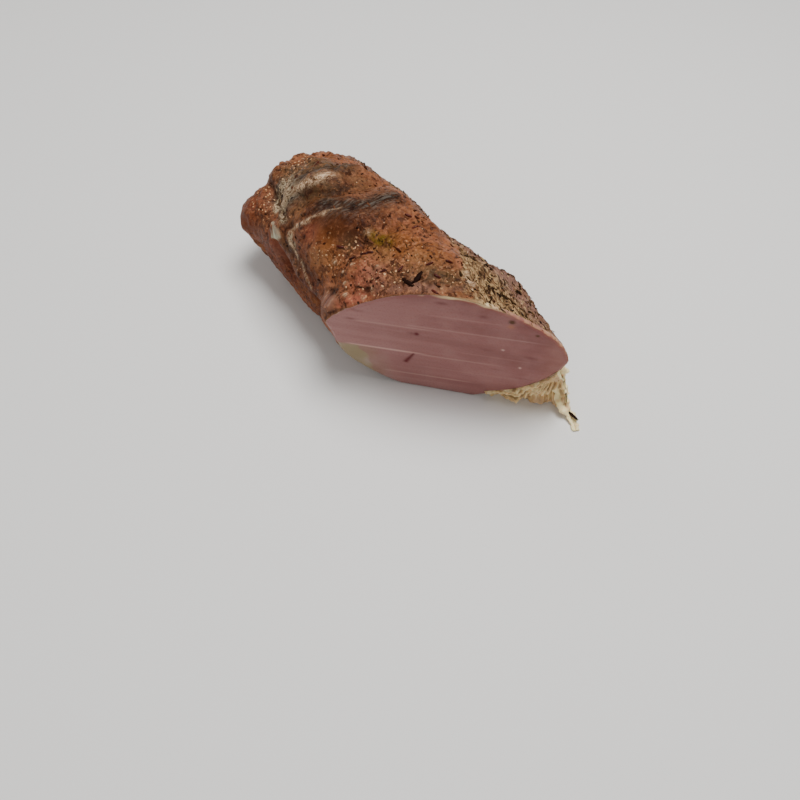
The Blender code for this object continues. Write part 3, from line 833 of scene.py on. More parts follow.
@dataclass
class NodeBoard:
    """A material whose nodes are added and linked one by one. A socket takes a signal or a plain value."""

    name: str

    def __post_init__(self) -> None:
        """Make the material with its Principled BSDF and its Object coordinates."""
        self.material = bpy.data.materials.new(self.name)
        self.material.use_nodes = True
        self.tree = self.material.node_tree
        self.place = self.node("TexCoord", "Object", {})

    def feed(self, node: bpy.types.Node, inputs: dict) -> None:
        """Set the inputs of a node.

        Args:
            node: The node.
            inputs: A signal to link or a plain value to set, by the input's name or number.
        """
        for name, value in inputs.items():
            if isinstance(value, Signal):
                self.tree.links.new(value.socket, node.inputs[name])
            else:
                node.inputs[name].default_value = value

    def node(self, kind: str, output: str | int, inputs: dict, **settings: object) -> Signal:
        """Add a node.

        Args:
            kind: The node's type, without the word that all shader nodes start with.
            output: Name or number of the output that is wanted.
            inputs: Signals and plain values by input.
            **settings: Properties of the node.

        Returns:
            The output as a signal.
        """
        made = self.tree.nodes.new("ShaderNode" + kind)
        for name, value in settings.items():
            setattr(made, name, value)
        self.feed(made, inputs)
        return Signal(self, made.outputs[output])

    def value(self, name: str) -> Signal:
        """A number that the mesh carries at each point."""
        return self.node("Attribute", "Fac", {}, attribute_name=name)

    def wrap(self, across: float, along: float) -> Signal:
        """The coordinates that the mesh carries along its surface, scaled apart along their axes."""
        carried = self.node("Attribute", "Vector", {}, attribute_name="wrap")
        return self.node("Mapping", "Vector", {"Vector": carried, "Scale": (across, along, 1.0)})

    def noise(self, vector: Signal, scale: float, detail: float = 4.0, rough: float = 0.55,
              warp: float = 0.0) -> Signal:
        """Noise between 0 and 1.

        Args:
            vector: Coordinates.
            scale: Waves to one unit of the coordinates.
            detail: Number of finer layers.
            rough: Strength of each finer layer.
            warp: How far the noise is pushed about by itself.

        Returns:
            The noise.
        """
        inputs = {"Vector": vector, "Scale": scale, "Detail": detail, "Roughness": rough, "Distortion": warp}
        return self.node("TexNoise", "Fac", inputs)

    def warped(self, vector: Signal, scale: float, amount: float) -> Signal:
        """The coordinates pushed about by a noise, so that patterns on them lose their even shapes.

        Args:
            vector: Coordinates.
            scale: Waves of the noise to one unit of the coordinates.
            amount: Longest push.

        Returns:
            The pushed coordinates.
        """
        noise = self.node("TexNoise", "Color", {"Vector": vector, "Scale": scale})
        inputs = {0: noise, 1: (amount, amount, amount), 2: vector}
        return self.node("VectorMath", "Vector", inputs, operation="MULTIPLY_ADD")

    def specks(self, vector: Signal, scale: float, radius: float, share: Signal | float) -> Signal:
        """Scattered spots.

        Args:
            vector: Coordinates.
            scale: Cells to one unit of the coordinates, with one spot to a cell.
            radius: Radius of a spot, in cells.
            share: Share of the cells that get their spot.

        Returns:
            1 within a spot and 0 between the spots.
        """
        distance = self.node("TexVoronoi", "Distance", {"Vector": vector, "Scale": scale})
        drawn = Signal(self, distance.socket.node.outputs["Color"])
        chosen = self.math("LESS_THAN", self.node("SeparateColor", "Red", {"Color": drawn}), share)
        return distance.span(0.6 * radius, radius, 1.0, 0.0) * chosen

    def math(self, operation: str, first: Signal | float, second: Signal | float = 0.0) -> Signal:
        """Arithmetic on two values."""
        return self.node("Math", "Value", {0: first, 1: second}, operation=operation)

    def mix(self, factor: Signal, first: Tint, second: Tint) -> Signal:
        """Two colours blended by a factor."""
        return self.node("Mix", 2, {0: factor, 6: first, 7: second}, data_type="RGBA", clamp_factor=True)

    def paint(self, colour: Tint, coats: tuple[tuple[Signal, Tint], ...]) -> Signal:
        """Lay colours over one another.

        Args:
            colour: The first colour.
            coats: How thickly each next colour covers, and that colour.

        Returns:
            The last colour.
        """
        for factor, over in coats:
            colour = self.mix(factor, colour, over)
        return colour

    def bump(self, height: Signal, distance: float, strength: float) -> Signal:
        """A bumped normal from a height, with the distance in millimetres."""
        inputs = {"Distance": distance * MM, "Strength": strength, "Height": height}
        return self.node("Bump", "Normal", inputs)

    def finish(self, colour: Tint, roughness: Signal | float, normal: Signal | None = None,
               soft: float = 0.0, soft_reach: float = 1.0, coat: Signal | float = 0.0,
               coat_rough: float = 0.2, sheen: float = 0.2) -> Material:
        """Feed the shader and hand over the material.

        Args:
            colour: Base colour.
            roughness: Roughness of the surface.
            normal: Bumped normal, if any.
            soft: Weight of light that spreads under the surface.
            soft_reach: How far it spreads, in millimetres.
            coat: Weight of the moist coat.
            coat_rough: Roughness of the coat.
            sheen: Level of the base's own reflection, 0.5 for that of water and fat.

        Returns:
            The finished material.
        """
        inputs = {"Base Color": colour, "Roughness": roughness, "Specular IOR Level": sheen,
                  "Subsurface Weight": soft, "Subsurface Radius": SOFT_RADIUS,
                  "Subsurface Scale": soft_reach * MM, "Coat Weight": coat, "Coat Roughness": coat_rough}
        if normal is not None:
            inputs |= {"Normal": normal, "Coat Normal": normal}
        self.feed(self.tree.nodes["Principled BSDF"], inputs)
        return self.material


@dataclass(frozen=True)
class CrustFinish:
    """Colours of the crust, each laid over those before it where its zone and a noise allow."""

    brown: tuple = tone(112, 64, 37)
    pink: tuple = tone(144, 88, 60)
    # Dark brown, also used as painted shadow and shade
    umber: tuple = tone(64, 29, 10)
    deep: tuple = tone(40, 15, 5)
    orange: tuple = tone(120, 68, 30)
    tan: tuple = tone(141, 92, 56)
    # Colour of the painted highlights: golden glints
    painted_highlight: tuple = tone(222, 176, 130)
    fleck: tuple = tone(172, 116, 80)
    ruddy: tuple = tone(102, 50, 30)
    rose: tuple = tone(157, 88, 66)
    mauve: tuple = tone(122, 84, 70)
    dull: tuple = tone(82, 60, 38)
    beige: tuple = tone(110, 81, 54)
    cream: tuple = tone(170, 139, 98)
    purple: tuple = tone(128, 92, 80)
    bark: tuple = tone(42, 26, 13)
    ash: tuple = tone(34, 21, 13)
    silver: tuple = tone(84, 75, 66)
    sinew: tuple = tone(132, 98, 68)
    pale: tuple = tone(212, 180, 146)
    white: tuple = tone(196, 192, 164)
    web: tuple = tone(178, 158, 128)
    olive: tuple = tone(98, 72, 14)

    def material(self) -> Material:
        """Brown crust with roasted, red-brown, fatty and silverskin zones, speckled and moist, with painted
        shade in its creases and hollows and painted golden glints.

        Returns:
            The material.
        """
        board = NodeBoard("crust")
        patches = board.noise(board.place, 110.0, 4.0, 0.55, 0.4)
        mottle = board.noise(board.place, 240.0, 5.0, 0.58, 0.6)
        grain = board.noise(board.place, 820.0, 5.0, 0.68, 0.5)
        girth = board.noise(board.wrap(150.0, 950.0), 1.0, 4.0, 0.62, 1.1)
        fibres = board.noise(board.wrap(500.0, 1500.0), 1.0, 4.0, 0.65, 1.6)
        uneven = board.warped(board.place, 500.0, 0.0022)
        net = board.math("ABSOLUTE", board.noise(board.place, 330.0, 3.0, 0.6, 1.2) - 0.5)
        calm = board.value("smooth").span(0.2, 0.9, 1.0, 0.25)
        glinting = board.value("glints")
        pits = board.specks(uneven, 400.0, 0.32, glinting * 0.3 + 0.17) * calm
        # Painted highlights: golden glint specks, most where the glints zone is strong
        glints = board.specks(uneven, 740.0, 0.35, 0.36) * glinting.span(0.05, 0.7, 0.06, 1.0) * calm
        silver = board.mix(girth.span(0.49, 0.58), self.ash, self.silver)
        web = board.mix(net.span(0.018, 0.085), self.web, self.dull)
        sinew = board.mix(fibres.span(0.44, 0.55), self.sinew, self.pale)
        colour = board.paint(self.meat(board, patches, mottle), (
            (grain.span(0.47, 0.36, 0.0, 0.85) * calm, self.deep),
            (grain.span(0.53, 0.64) * ((glinting * 0.5 + 0.4) * calm), self.fleck)))
        colour = board.paint(self.fatty(board, colour, patches, mottle), (
            (board.value("silver") * (girth + patches).span(0.85, 1.08, 0.7, 1.0), silver),
            (board.value("web"), board.mix(mottle.span(0.47, 0.36), web, self.deep)),
            (board.value("pale") * (mottle + fibres).span(0.8, 1.02, 0.25, 1.0), sinew),
            (board.value("streak"), self.white),
            # Painted shade: deep brown in the creases, holes and hollows of the dark zone
            (board.value("dark") * mottle.span(0.35, 0.62, 1.0, 0.65), self.deep),
            (pits * patches.span(0.42, 0.56, 0.2, 0.9), self.deep),
            # Painted highlights: the golden glints
            (glints * 0.85, self.painted_highlight),
            (board.value("rim") * 0.7, self.cream)))
        height = (mottle + grain * 0.9) * calm + girth * board.value("silver") * 1.4
        height = height + (glints - pits) * 0.35 + fibres * board.value("pale") * 0.8
        return board.finish(colour, grain.span(0.35, 0.65, 0.38, 0.58), board.bump(height, 0.8, 0.75),
                            soft=0.05, soft_reach=0.8, coat=board.value("wet") * 0.08, sheen=0.06)

    def meat(self, board: NodeBoard, patches: Signal, mottle: Signal) -> Signal:
        """The lean crust: pink-brown to brown, with its roasted, red-brown and dull zones, and its dark
        brown zone that is partly painted shade.

        Args:
            board: The crust's material.
            patches: The broad noise.
            mottle: The finer noise.

        Returns:
            The colour.
        """
        ground = mottle.span(0.34, 0.54, 0.45, 1.0)
        zones = ("ruddy", "umber", "orange", "tan", "olive", "dull", "rose", "mauve")
        bare = board.value("tan").span(0.1, 0.8, 1.0, 0.25)
        return board.paint(self.brown, (
            (patches.span(0.4, 0.62), self.pink),
            (mottle.span(0.53, 0.66, 0.0, 0.6), self.tan),
            *((board.value(name) * ground, getattr(self, name)) for name in zones),
            (mottle.span(0.46, 0.35, 0.0, 0.75) * bare, self.deep)))

    def fatty(self, board: NodeBoard, colour: Signal, patches: Signal, mottle: Signal) -> Signal:
        """The fatty side over the lean crust: beige with cream furrows and flecks, purplish low down.

        Args:
            board: The crust's material.
            colour: Colour of the lean crust.
            patches: The broad noise.
            mottle: The finer noise.

        Returns:
            The colour.
        """
        furrows = board.noise(board.wrap(1150.0, 430.0), 1.0, 5.0, 0.68, 0.7)
        dark = board.specks(board.warped(board.wrap(1.0, 0.35), 700.0, 0.001), 1000.0, 0.38, 0.36)
        light = board.specks(board.warped(board.wrap(1.0, 0.45), 900.0, 0.0012), 950.0, 0.36, 0.3)
        fat = board.paint(self.beige, (
            (furrows.span(0.49, 0.58), self.cream),
            (board.value("outer") * mottle.span(0.34, 0.52, 0.2, 0.9), self.purple),
            (furrows.span(0.465, 0.4, 0.0, 0.95), self.bark),
            (dark * 0.9, self.deep),
            (light * 0.8, self.cream)))
        return board.mix(board.value("fat") * patches.span(0.26, 0.46, 0.5, 1.0), colour, fat)


@dataclass(frozen=True)
class CutFinish:
    """Colours of the cut meat."""

    pink: tuple = tone(163, 117, 112)
    mauve: tuple = tone(132, 78, 74)
    dark: tuple = tone(112, 62, 58)
    pale: tuple = tone(194, 152, 142)
    tallow: tuple = tone(162, 143, 125)
    fat: tuple = tone(144, 128, 95)
    cream: tuple = tone(218, 190, 144)
    blood: tuple = tone(88, 6, 14)
    orange: tuple = tone(158, 100, 78)
    scorched: tuple = tone(80, 42, 8)

    def material(self) -> Material:
        """Smooth pink meat, painted mauve as shade towards the right and the top, with faint level bands,
        veins, a fat patch and a pale rim.

        Returns:
            The material.
        """
        board = NodeBoard("cut_meat")
        broad = board.noise(board.wrap(60.0, 60.0), 1.0, 3.0, 0.5)
        bands = board.noise(board.wrap(12.0, 130.0), 1.0, 2.0, 0.5)
        streaks = board.noise(board.wrap(60.0, 1100.0), 1.0, 4.0, 0.6)
        fine = board.noise(board.wrap(1300.0, 1300.0), 1.0, 4.0, 0.6)
        colour = board.paint(self.pink, (
            # Painted shade: mauve over the pink, more towards the right and the top of the cut
            (board.value("shade"), self.mauve),
            (bands.span(0.38, 0.62, 0.0, 0.34), self.dark),
            (broad.span(0.42, 0.66, 0.0, 0.35), self.pink),
            (streaks.span(0.56, 0.72, 0.0, 0.05), self.pale),
            (fine.span(0.48, 0.72, 0.0, 0.3), self.dark),
            # Pale lines, and the two painted glints with them
            (board.value("lines"), self.pale),
            (board.value("fat"), board.mix(broad.span(0.42, 0.6), self.fat, self.tallow)),
            (board.value("blood"), self.blood),
            (board.value("orange"), self.orange),
            (board.value("rim"), self.cream),
            (board.value("scorched"), self.scorched)))
        return board.finish(colour, streaks.span(0.35, 0.65, 0.38, 0.5), board.bump(fine, 0.12, 0.3),
                            soft=0.2, soft_reach=1.8, coat=0.08, coat_rough=0.25, sheen=0.15)


@dataclass(frozen=True)
class FatFinish:
    """Colours of loose fat and silverskin."""

    light: tuple = tone(252, 232, 178)
    cream: tuple = tone(234, 204, 148)
    beige: tuple = tone(208, 170, 118)
    mauve: tuple = tone(172, 128, 104)
    brown: tuple = tone(112, 76, 28)

    def material(self) -> Material:
        """Cream to beige fat, with painted shade in its folds and the strand's groove, a paler taut edge and
        strand, and painted highlight on the fold crests.

        Returns:
            The material.
        """
        board = NodeBoard("fat")
        patches = board.noise(board.place, 180.0, 4.0, 0.6)
        wide = board.noise(board.place, 90.0, 3.0, 0.5)
        strands = board.noise(board.wrap(300.0, 900.0), 1.0, 4.0, 0.6, 0.6)
        colour = board.paint(self.beige, (
            (patches.span(0.36, 0.6), self.cream),
            (wide.span(0.52, 0.6, 0.0, 0.5), self.mauve),
            # Painted shade: brown in the folds and the strand's groove
            (board.value("valley") * wide.span(0.52, 0.4, 0.25, 1.0), self.brown),
            (strands.span(0.44, 0.3, 0.0, 0.6), self.brown),
            # The paler taut edge and strand, and painted highlight on the fold crests
            (board.value("ridge"), self.light)))
        return board.finish(colour, patches.span(0.35, 0.65, 0.36, 0.54), board.bump(strands, 0.5, 0.5),
                            soft=0.2, soft_reach=1.4, coat=0.25)


@dataclass(frozen=True)
class SpiceFinish:
    """Colours of one kind of scattered spice, from its darkest to its palest bits."""

    name: str
    first: tuple
    middle: tuple
    last: tuple
    roughness: float = 0.6
    coat: float = 0.0

    def material(self) -> Material:
        """Each bit has its own colour between three, with fine mottling.

        Returns:
            The material.
        """
        board = NodeBoard(self.name)
        tint = board.value("tint")
        mottle = board.noise(board.place, 1600.0, 3.0, 0.6)
        colour = board.paint(self.first, (
            (tint.span(0.0, 0.6), self.middle),
            (tint.span(0.6, 1.0), self.last),
            (mottle.span(0.5, 0.7, 0.0, 0.4), self.first)))
        return board.finish(colour, self.roughness, board.bump(mottle, 0.25, 0.5), coat=self.coat,
                            coat_rough=0.15, sheen=0.04)


@dataclass
class Crust:
    """The closed body of the meat: its skin up to the cut, and a hidden wall behind the cut."""

    form: MeatForm
    zones: CrustMap
    columns_fine: int = 240
    columns_low: int = 84
    fine_turns: Range = (-0.14, 1.16)
    end_rows: int = 40
    rows: int = 240
    cap_inset: float = 0.92
    cap_back: float = 2.6
    ripples: tuple[Swell, ...] = (
        Swell(31, 7.5, 0.24, 24), Swell(32, 3.6, 0.12, 28), Swell(33, 1.9, 0.05, 32))
    girth_fibres: Fibres = Fibres(41, 1.5, 24.0, 0.11)
    side_fibres: Fibres = Fibres(42, 2.2, 7.0, 0.22)
    crinkles: tuple[Crinkles, ...] = (
        Crinkles(71, (7, -28, 46), 12, 4.6, 0.45),
        Crinkles(72, (22, -10, 59), 18, 5.5, 0.16, 0.9),
        Crinkles(73, (-62, -12, 46), 14, 5, 0.45, 0.8),
        Crinkles(74, (-76, -6, 36), 14, 5, 0.5, 0.8),
    )
    calm_smooth: float = 0.75
    calm_streak: float = 0.8
    calm_least: float = 0.15
    end_rise: Range = (-50.0, -15.0)
    end_gain: float = 0.9
    girth_sway: Range = (2.5, 9.0)
    streak_height: float = 0.5
    pale_height: float = 0.22
    dark_height: float = 0.4
    near_cut: float = 4.0
    near_cut_share: float = 0.3
    wet_rise: Range = (0.1, 0.6)
    rim_upper: Range = (-34.0, 6.0)
    rim_right: Range = (-8.0, 8.0)
    rim_left: float = 0.35
    rim_least: float = 0.25
    rim_spread: float = 2.2
    rim_place: Range = (13.0, 5.0)
    steps: Range = (0.5, 0.012)
    halvings: int = 30

    def turns(self) -> Array:
        """Turns of the grid's columns: close together on the top and left, wider below.

        Returns:
            The turns in rising order.
        """
        low, high = (math.pi * value for value in self.fine_turns)
        fine = np.linspace(low, high, self.columns_fine, endpoint=False)
        under = np.linspace(high, low + 2.0 * math.pi, self.columns_low, endpoint=False)
        under = np.where(under > 1.5 * math.pi, under - 2.0 * math.pi, under)
        return np.sort(np.concatenate((fine, under)))

    def arc(self, turn: Array) -> Array:
        """Way round the meat in millimetres, near enough for a pattern."""
        return turn * self.form.width / 2.0

    def surface(self, run: Array, turn: Array) -> Array:
        """Points of the crust with its fine relief.

        The main form, plus ripples of three sizes, fibres round the silverskin, furrows along the fatty
        side, creased plates, raised tendon and sunk creases, all along the tube's outward vectors, and no
        point below the ground.

        Args:
            run: Way along the meat.
            turn: Way round it, in radians.

        Returns:
            The points.
        """
        tube = self.form.tube(run, turn)
        out = self.form.outward(run, turn)
        main = tube + out * self.form.relief(tube)[..., None]
        arc = self.arc(turn)
        smooth, streak, silver, pale, dark = (
            ZONES[name].strength(main) for name in ("smooth", "streak", "silver", "pale", "dark"))
        calm = 1.0 - self.calm_smooth * smooth - self.calm_streak * streak
        rough = 1.0 + self.end_gain * ramp(main[..., 0], *self.end_rise)
        ripples = sum(ripple.height_at(tube) for ripple in self.ripples)
        fine = np.clip(calm, self.calm_least, 1.0) * rough * ripples
        sway = self.girth_sway[0] * np.sin(arc / self.girth_sway[1])
        fine = fine + silver * self.girth_fibres.height_at(arc, run + sway)
        fine = fine + self.zones.fat(main) * self.side_fibres.height_at(run, arc)
        fine = fine + sum(plates.height_at(main) for plates in self.crinkles)
        fine = fine + self.streak_height * streak + self.pale_height * pale - self.dark_height * dark
        deep = ramp(self.form.cut.depth(tube), 0.0, self.near_cut)
        quiet = self.near_cut_share + (1.0 - self.near_cut_share) * deep
        points = main + out * (quiet * fine)[..., None]
        points[..., 2] = np.maximum(points[..., 2], 0.0)
        return points

    def on_surface(self, run: Array, turn: Array) -> tuple[Array, Array]:
        """Points of the crust and the directions that stand out from it, by small steps both ways.

        Args:
            run: Way along the meat.
            turn: Way round it, in radians.

        Returns:
            The points and the unit vectors.
        """
        here = self.surface(run, turn)
        along = self.surface(run + self.steps[0], turn) - here
        around = self.surface(run, turn + self.steps[1]) - here
        return here, unit(np.cross(around, along))

    def run_to_cut(self, turn: Array) -> Array:
        """Run at which each column meets the cut, found by halving an interval.

        Args:
            turn: Way round it, in radians.

        Returns:
            The runs.
        """
        low = np.zeros_like(turn)
        high = np.full_like(turn, self.form.past_cut * self.form.length)
        for _ in range(self.halvings):
            middle = (low + high) / 2.0
            inside = self.form.cut.depth(self.surface(middle, turn)) > 0.0
            low = np.where(inside, middle, low)
            high = np.where(inside, high, middle)
        return (low + high) / 2.0

    def grid(self) -> tuple[Array, Array]:
        """Run and turn of every point of the grid, row by row from the rough end to the cut.

        Returns:
            The two arrays.
        """
        turn = self.turns()
        end = np.linspace(-self.form.end_round, 0.0, self.end_rows + 1)[1:-1]
        body = np.linspace(0.0, 1.0, self.rows)[:, None] * self.run_to_cut(turn)
        run = np.vstack((np.repeat(end[:, None], len(turn), axis=1), body))
        return run, np.broadcast_to(turn, run.shape)

    def build(self) -> Array:
        """Make the crust.

        Returns:
            The ring of points where the skin meets the cut.
        """
        run, turn = self.grid()
        skin = self.surface(run, turn)
        rim = skin[-1]
        centre = rim.mean(axis=0)
        wall = centre + (rim - centre) * self.cap_inset - self.form.cut.out * self.cap_back
        tip = self.form.skin(np.array([-self.form.end_round]), np.array([0.0]))
        hubs = np.vstack((tip, wall.mean(axis=0)))
        points, faces = capped_tube(np.concatenate((skin, wall[None])), hubs)
        marks = self.marks(points)
        marks["wet"] = ramp(self.form.outward(run, turn)[..., 2], *self.wet_rise)
        piece = Piece("meat_crust", self.form.placed(points), faces, marks, (self.arc(turn), run))
        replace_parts(piece.build(CrustFinish().material(), Slot.CRUST), NODE)
        return rim

    def marks(self, points: Array) -> dict[str, Array]:
        """Strength of every zone at every point.

        Args:
            points: The points.

        Returns:
            Strengths by name.
        """
        right, up = self.form.cut.on_plane(points)
        middle, spread = self.rim_place
        wide = self.rim_least + self.rim_spread * bell(right - middle, spread)
        rim = ramp(1.0 - self.form.cut.depth(points) / wide) * ramp(up, *self.rim_upper)
        rim = rim * (self.rim_left + (1.0 - self.rim_left) * ramp(right, *self.rim_right))
        marks = {name: zone.strength(points) for name, zone in ZONES.items()}
        return marks | {"fat": self.zones.fat(points), "outer": self.zones.outer(points), "rim": rim}


@dataclass
class CutFace:
    """The cut: a thin closed slab of meat that fills the rim.

    The rows of lines are start, end, level, thinness and strength, and those of spots are the place to the
    right and upwards, the half sizes both ways and the strength.
    """

    form: MeatForm
    rings: int = 96
    ring_crowd: float = 1.25
    thick: float = 1.6
    back_share: float = 0.99
    edge_round: float = 0.7
    edge_drop: float = 0.45
    streaks: Fibres = Fibres(51, 4.0, 90.0, 0.012)
    slope: float = 0.04
    lines: tuple[Spot, ...] = (
        (-37, -2, -37.3, 0.48, 1), (-8, 26, -36.7, 0.38, 0.35), (-35, 4, -21.6, 0.42, 0.32),
        (-14, 40, -19.4, 0.36, 0.26), (-23, 18, -51.8, 0.42, 0.42), (-6, 26, -11.5, 0.34, 0.16),
        (-8, 36, -44.5, 0.4, 0.14), (6, 40, -31, 0.34, 0.14),
    )
    line_ends: Range = (4.0, -12.0)
    vein: Sizes = (-9.4, -36.9, -12.4, -42.9)
    vein_wide: Range = (0.36, 0.5)
    vein_strength: float = 1.15
    blood: tuple[Spot, ...] = (
        (-32.5, -21, 2.2, 0.8, 0.5), (-8.3, -23.7, 0.7, 0.8, 1.3), (-9.9, -23.9, 2, 0.9, 0.35),
        (-0.1, -3.9, 2.2, 0.8, 0.55), (14.2, -7.6, 1.5, 0.9, 0.45), (33, -27, 2.2, 0.8, 0.3),
        (22, -38, 3, 0.7, 0.2), (-30, -15.5, 2.4, 0.7, 0.35), (17, -26.5, 2, 0.7, 0.25),
        (33, -41.4, 6, 0.5, 0.22),
    )
    scorched: tuple[Spot, ...] = ((23.7, -8, 0.8, 0.8, 2.5), (33, -13.2, 0.5, 0.5, 2.5))
    stained: tuple[Spot, ...] = ((23.7, -10.6, 1.1, 1.1, 1),)
    # Painted glints: two small pale spots on the cut, laid in with the pale lines
    painted_glints: tuple[Spot, ...] = ((30.1, -34.4, 0.45, 0.45, 1.5), (22.7, -24.8, 0.45, 0.45, 1.5))
    patch_up: Sizes = (-53.4, -46.3, -42.3, -38)
    patch_right: Sizes = (-24.8, -27.3, -27.8, -30.8)
    patch_top: Range = (-37.2, 0.8)
    patch_ragged: float = 0.9
    patch_edge: Range = (1.5, 0.92)
    patch_halo: Range = (12.0, 0.3)
    ragged: Swell = Swell(52, 5.0, 0.35)
    broken: Swell = Swell(53, 3.2, 0.45)
    cream_places: tuple[Range, ...] = ((3, 4), (14.5, 5))
    rim_right: Sizes = (-42, -10, -5, 0, 4, 8, 14, 20, 30, 38, 46)
    rim_wide: Sizes = (0.15, 0.2, 0.5, 1.3, 0.9, 0.4, 0.8, 0.3, 0.2, 0.15, 0.15)
    rim_ragged: float = 0.5
    rim_sharp: float = 1.6
    rim_cream: float = 0.75
    rim_upper: Range = (-33.0, 6.0)
    rim_stain: Place = (-2.0, 6.0, 0.6)
    tip_stain: Place = (34.0, 8.0, 0.22)
    seep: Range = (0.8, 0.25)
    seep_rise: Range = (2.0, 8.0)
    # Painted shade: its level at shade_centre, and its rise per millimetre to the right and upwards
    shade: Place = (0.4, 0.011, 0.008)
    shade_centre: Range = (-10.0, -30.0)

    def spotted(self, rows: tuple[Spot, ...], right: Array, up: Array) -> Array:
        """Strength of spots: bell curves of the distance, stretched to the half sizes and added up.

        Args:
            rows: The spots.
            right: Places to the right.
            up: Places upwards.

        Returns:
            Strength at each place.
        """
        return sum(strength * bell(np.hypot((right - across) / wide, (up - height) / tall), 1.0)
                   for across, height, wide, tall, strength in rows)

    def lined(self, right: Array, up: Array) -> Array:
        """Strength of the pale lines: a bell curve across each, fading at its ends.

        Args:
            right: Places to the right.
            up: Places upwards.

        Returns:
            Strength at each place.
        """
        total = np.zeros(len(right))
        for start, end, height, thin, strength in self.lines:
            ends = ramp(right, start, self.line_ends[0]) * ramp(right, end, self.line_ends[1])
            total = total + strength * ends * bell(up - height - self.slope * (right - start), thin)
        return total

    def veined(self, right: Array, up: Array) -> Array:
        """Strength of the short vein: a bell curve of the distance to it, wider at its foot.

        Args:
            right: Places to the right.
            up: Places upwards.

        Returns:
            Strength at each place.
        """
        x0, y0, x1, y1 = self.vein
        side = np.array((x1 - x0, y1 - y0))
        t = np.clip(((right - x0) * side[0] + (up - y0) * side[1]) / (side @ side), 0.0, 1.0)
        gap = np.hypot(right - x0 - t * side[0], up - y0 - t * side[1])
        return self.vein_strength * bell(gap, self.vein_wide[0] + self.vein_wide[1] * t)

    def fat_patch(self, right: Array, up: Array, ragged: Array) -> Array:
        """The grey-white fat low on the left: under the bright line, and left of a slanting edge.

        Args:
            right: Places to the right.
            up: Places upwards.
            ragged: Uneven heights that fray the edge.

        Returns:
            Strength at each place.
        """
        level_there = self.patch_top[0] + self.slope * (right - self.lines[0][0])
        under = ramp(level_there - up, 0.0, self.patch_top[1])
        edge = np.interp(up, self.patch_up, self.patch_right) + self.patch_ragged * ragged
        reach, faint = self.patch_halo
        soft, strong = self.patch_edge
        halo = faint * ramp(edge + reach - right, 0.0, reach)
        return under * np.maximum(strong * ramp((edge - right) / soft + 0.5), halo)

    def marks(self, points: Array, inward: Array) -> dict[str, Array]:
        """Strengths of the lines, veins, fat, rim and painted shade at points of the cut.

        Args:
            points: Points of the cut.
            inward: Distance of each from the rim.

        Returns:
            Values from 0 to 1 by name.
        """
        right, up = self.form.cut.on_plane(points)
        upper = ramp(up, *self.rim_upper)
        ragged = self.ragged.height_at(points)
        wide = np.interp(right, self.rim_right, self.rim_wide) + self.rim_ragged * ragged
        rim = upper * ramp(self.rim_sharp * (1.0 - inward / np.maximum(wide, self.rim_wide[0])))
        cream = sum(bell(right - middle, spread) for middle, spread in self.cream_places)
        cream = np.clip(cream, 0.0, 1.0)
        broken = ramp(0.5 + self.broken.height_at(points))
        soaked, seep = self.seep
        orange = upper * ramp(1.0 - (inward - wide) / soaked) * seep * ramp(right, *self.seep_rise)
        orange = orange + self.spotted(self.stained, right, up)
        orange = orange + self.tip_stain[2] * ramp(right, *self.tip_stain[:2])
        orange = orange + self.rim_stain[2] * rim * broken * (1.0 - cream) * ramp(right, *self.rim_stain[:2])
        shade, sideways, upward = self.shade
        centre_right, centre_up = self.shade_centre
        marks = {
            # Pale lines of the meat, and the two painted glints
            "lines": self.lined(right, up) + self.spotted(self.painted_glints, right, up),
            "blood": self.spotted(self.blood, right, up) + self.veined(right, up),
            "fat": self.fat_patch(right, up, ragged),
            "rim": rim * np.clip((1.0 - self.rim_cream) * broken + self.rim_cream * cream, 0.0, 1.0),
            "orange": orange,
            "scorched": self.spotted(self.scorched, right, up),
            # Painted shade: mauve rising towards the right and the top
            "shade": shade + sideways * (right - centre_right) + upward * (up - centre_up),
        }
        return {name: np.clip(values, 0.0, 1.0) for name, values in marks.items()}

    def build(self, rim: Array) -> None:
        """Make the slab.

        The front is rings between the rim and the middle, pushed out by level streaks and dropped at the
        rounded edge. The back is one fan.

        Args:
            rim: The ring of points where the skin meets the cut.
        """
        cut = self.form.cut
        columns = len(rim)
        centre = rim.mean(axis=0)
        share = 1.0 - np.linspace(0.0, 1.0, self.rings + 1)[:-1] ** self.ring_crowd
        front = (centre + (rim - centre)[None] * share[:, None, None]).reshape(-1, 3)
        inward = (np.linalg.norm(rim - centre, axis=1)[None] * (1.0 - share)[:, None]).ravel()
        right, up = cut.on_plane(front)
        push = self.streaks.height_at(right, up - self.slope * right) * ramp(inward, 0.0, 2.0)
        push = push + self.edge_drop * (1.0 - bell(inward, self.edge_round))
        surface = front + push[:, None] * cut.out
        back = centre + (rim - centre) * self.back_share - cut.out * self.thick
        hubs = np.stack((centre - cut.out * self.thick, centre + self.edge_drop * cut.out))
        points, faces = capped_tube(np.vstack((back, surface)).reshape(-1, columns, 3), hubs)
        inward = np.concatenate((np.zeros(columns), inward, np.full(2, inward.max())))
        marks = self.marks(points, inward)
        piece = Piece("cut_face", self.form.placed(points), faces, marks, cut.on_plane(points))
        piece.build(CutFinish().material(), Slot.CUT)


def smooth_line(points: tuple[Place, ...], count: int) -> Array:
    """Evenly spread points on a smooth curve through the given ones.

    Args:
        points: Points that the curve passes.
        count: Number of points wanted.

    Returns:
        The points: a cubic through each four neighbours.
    """
    knots = np.array(points)
    padded = np.vstack((2 * knots[0] - knots[1], knots, 2 * knots[-1] - knots[-2]))
    places = np.linspace(0.0, len(knots) - 1.0, count)
    index = np.minimum(places.astype(int), len(knots) - 2)
    t = (places - index)[:, None]
    a, b, c, d = (padded[index + shift] for shift in range(4))
    return 0.5 * (2 * b + (c - a) * t + (2 * a - 5 * b + 4 * c - d) * t**2 + (3 * b - a - 3 * c + d) * t**3)


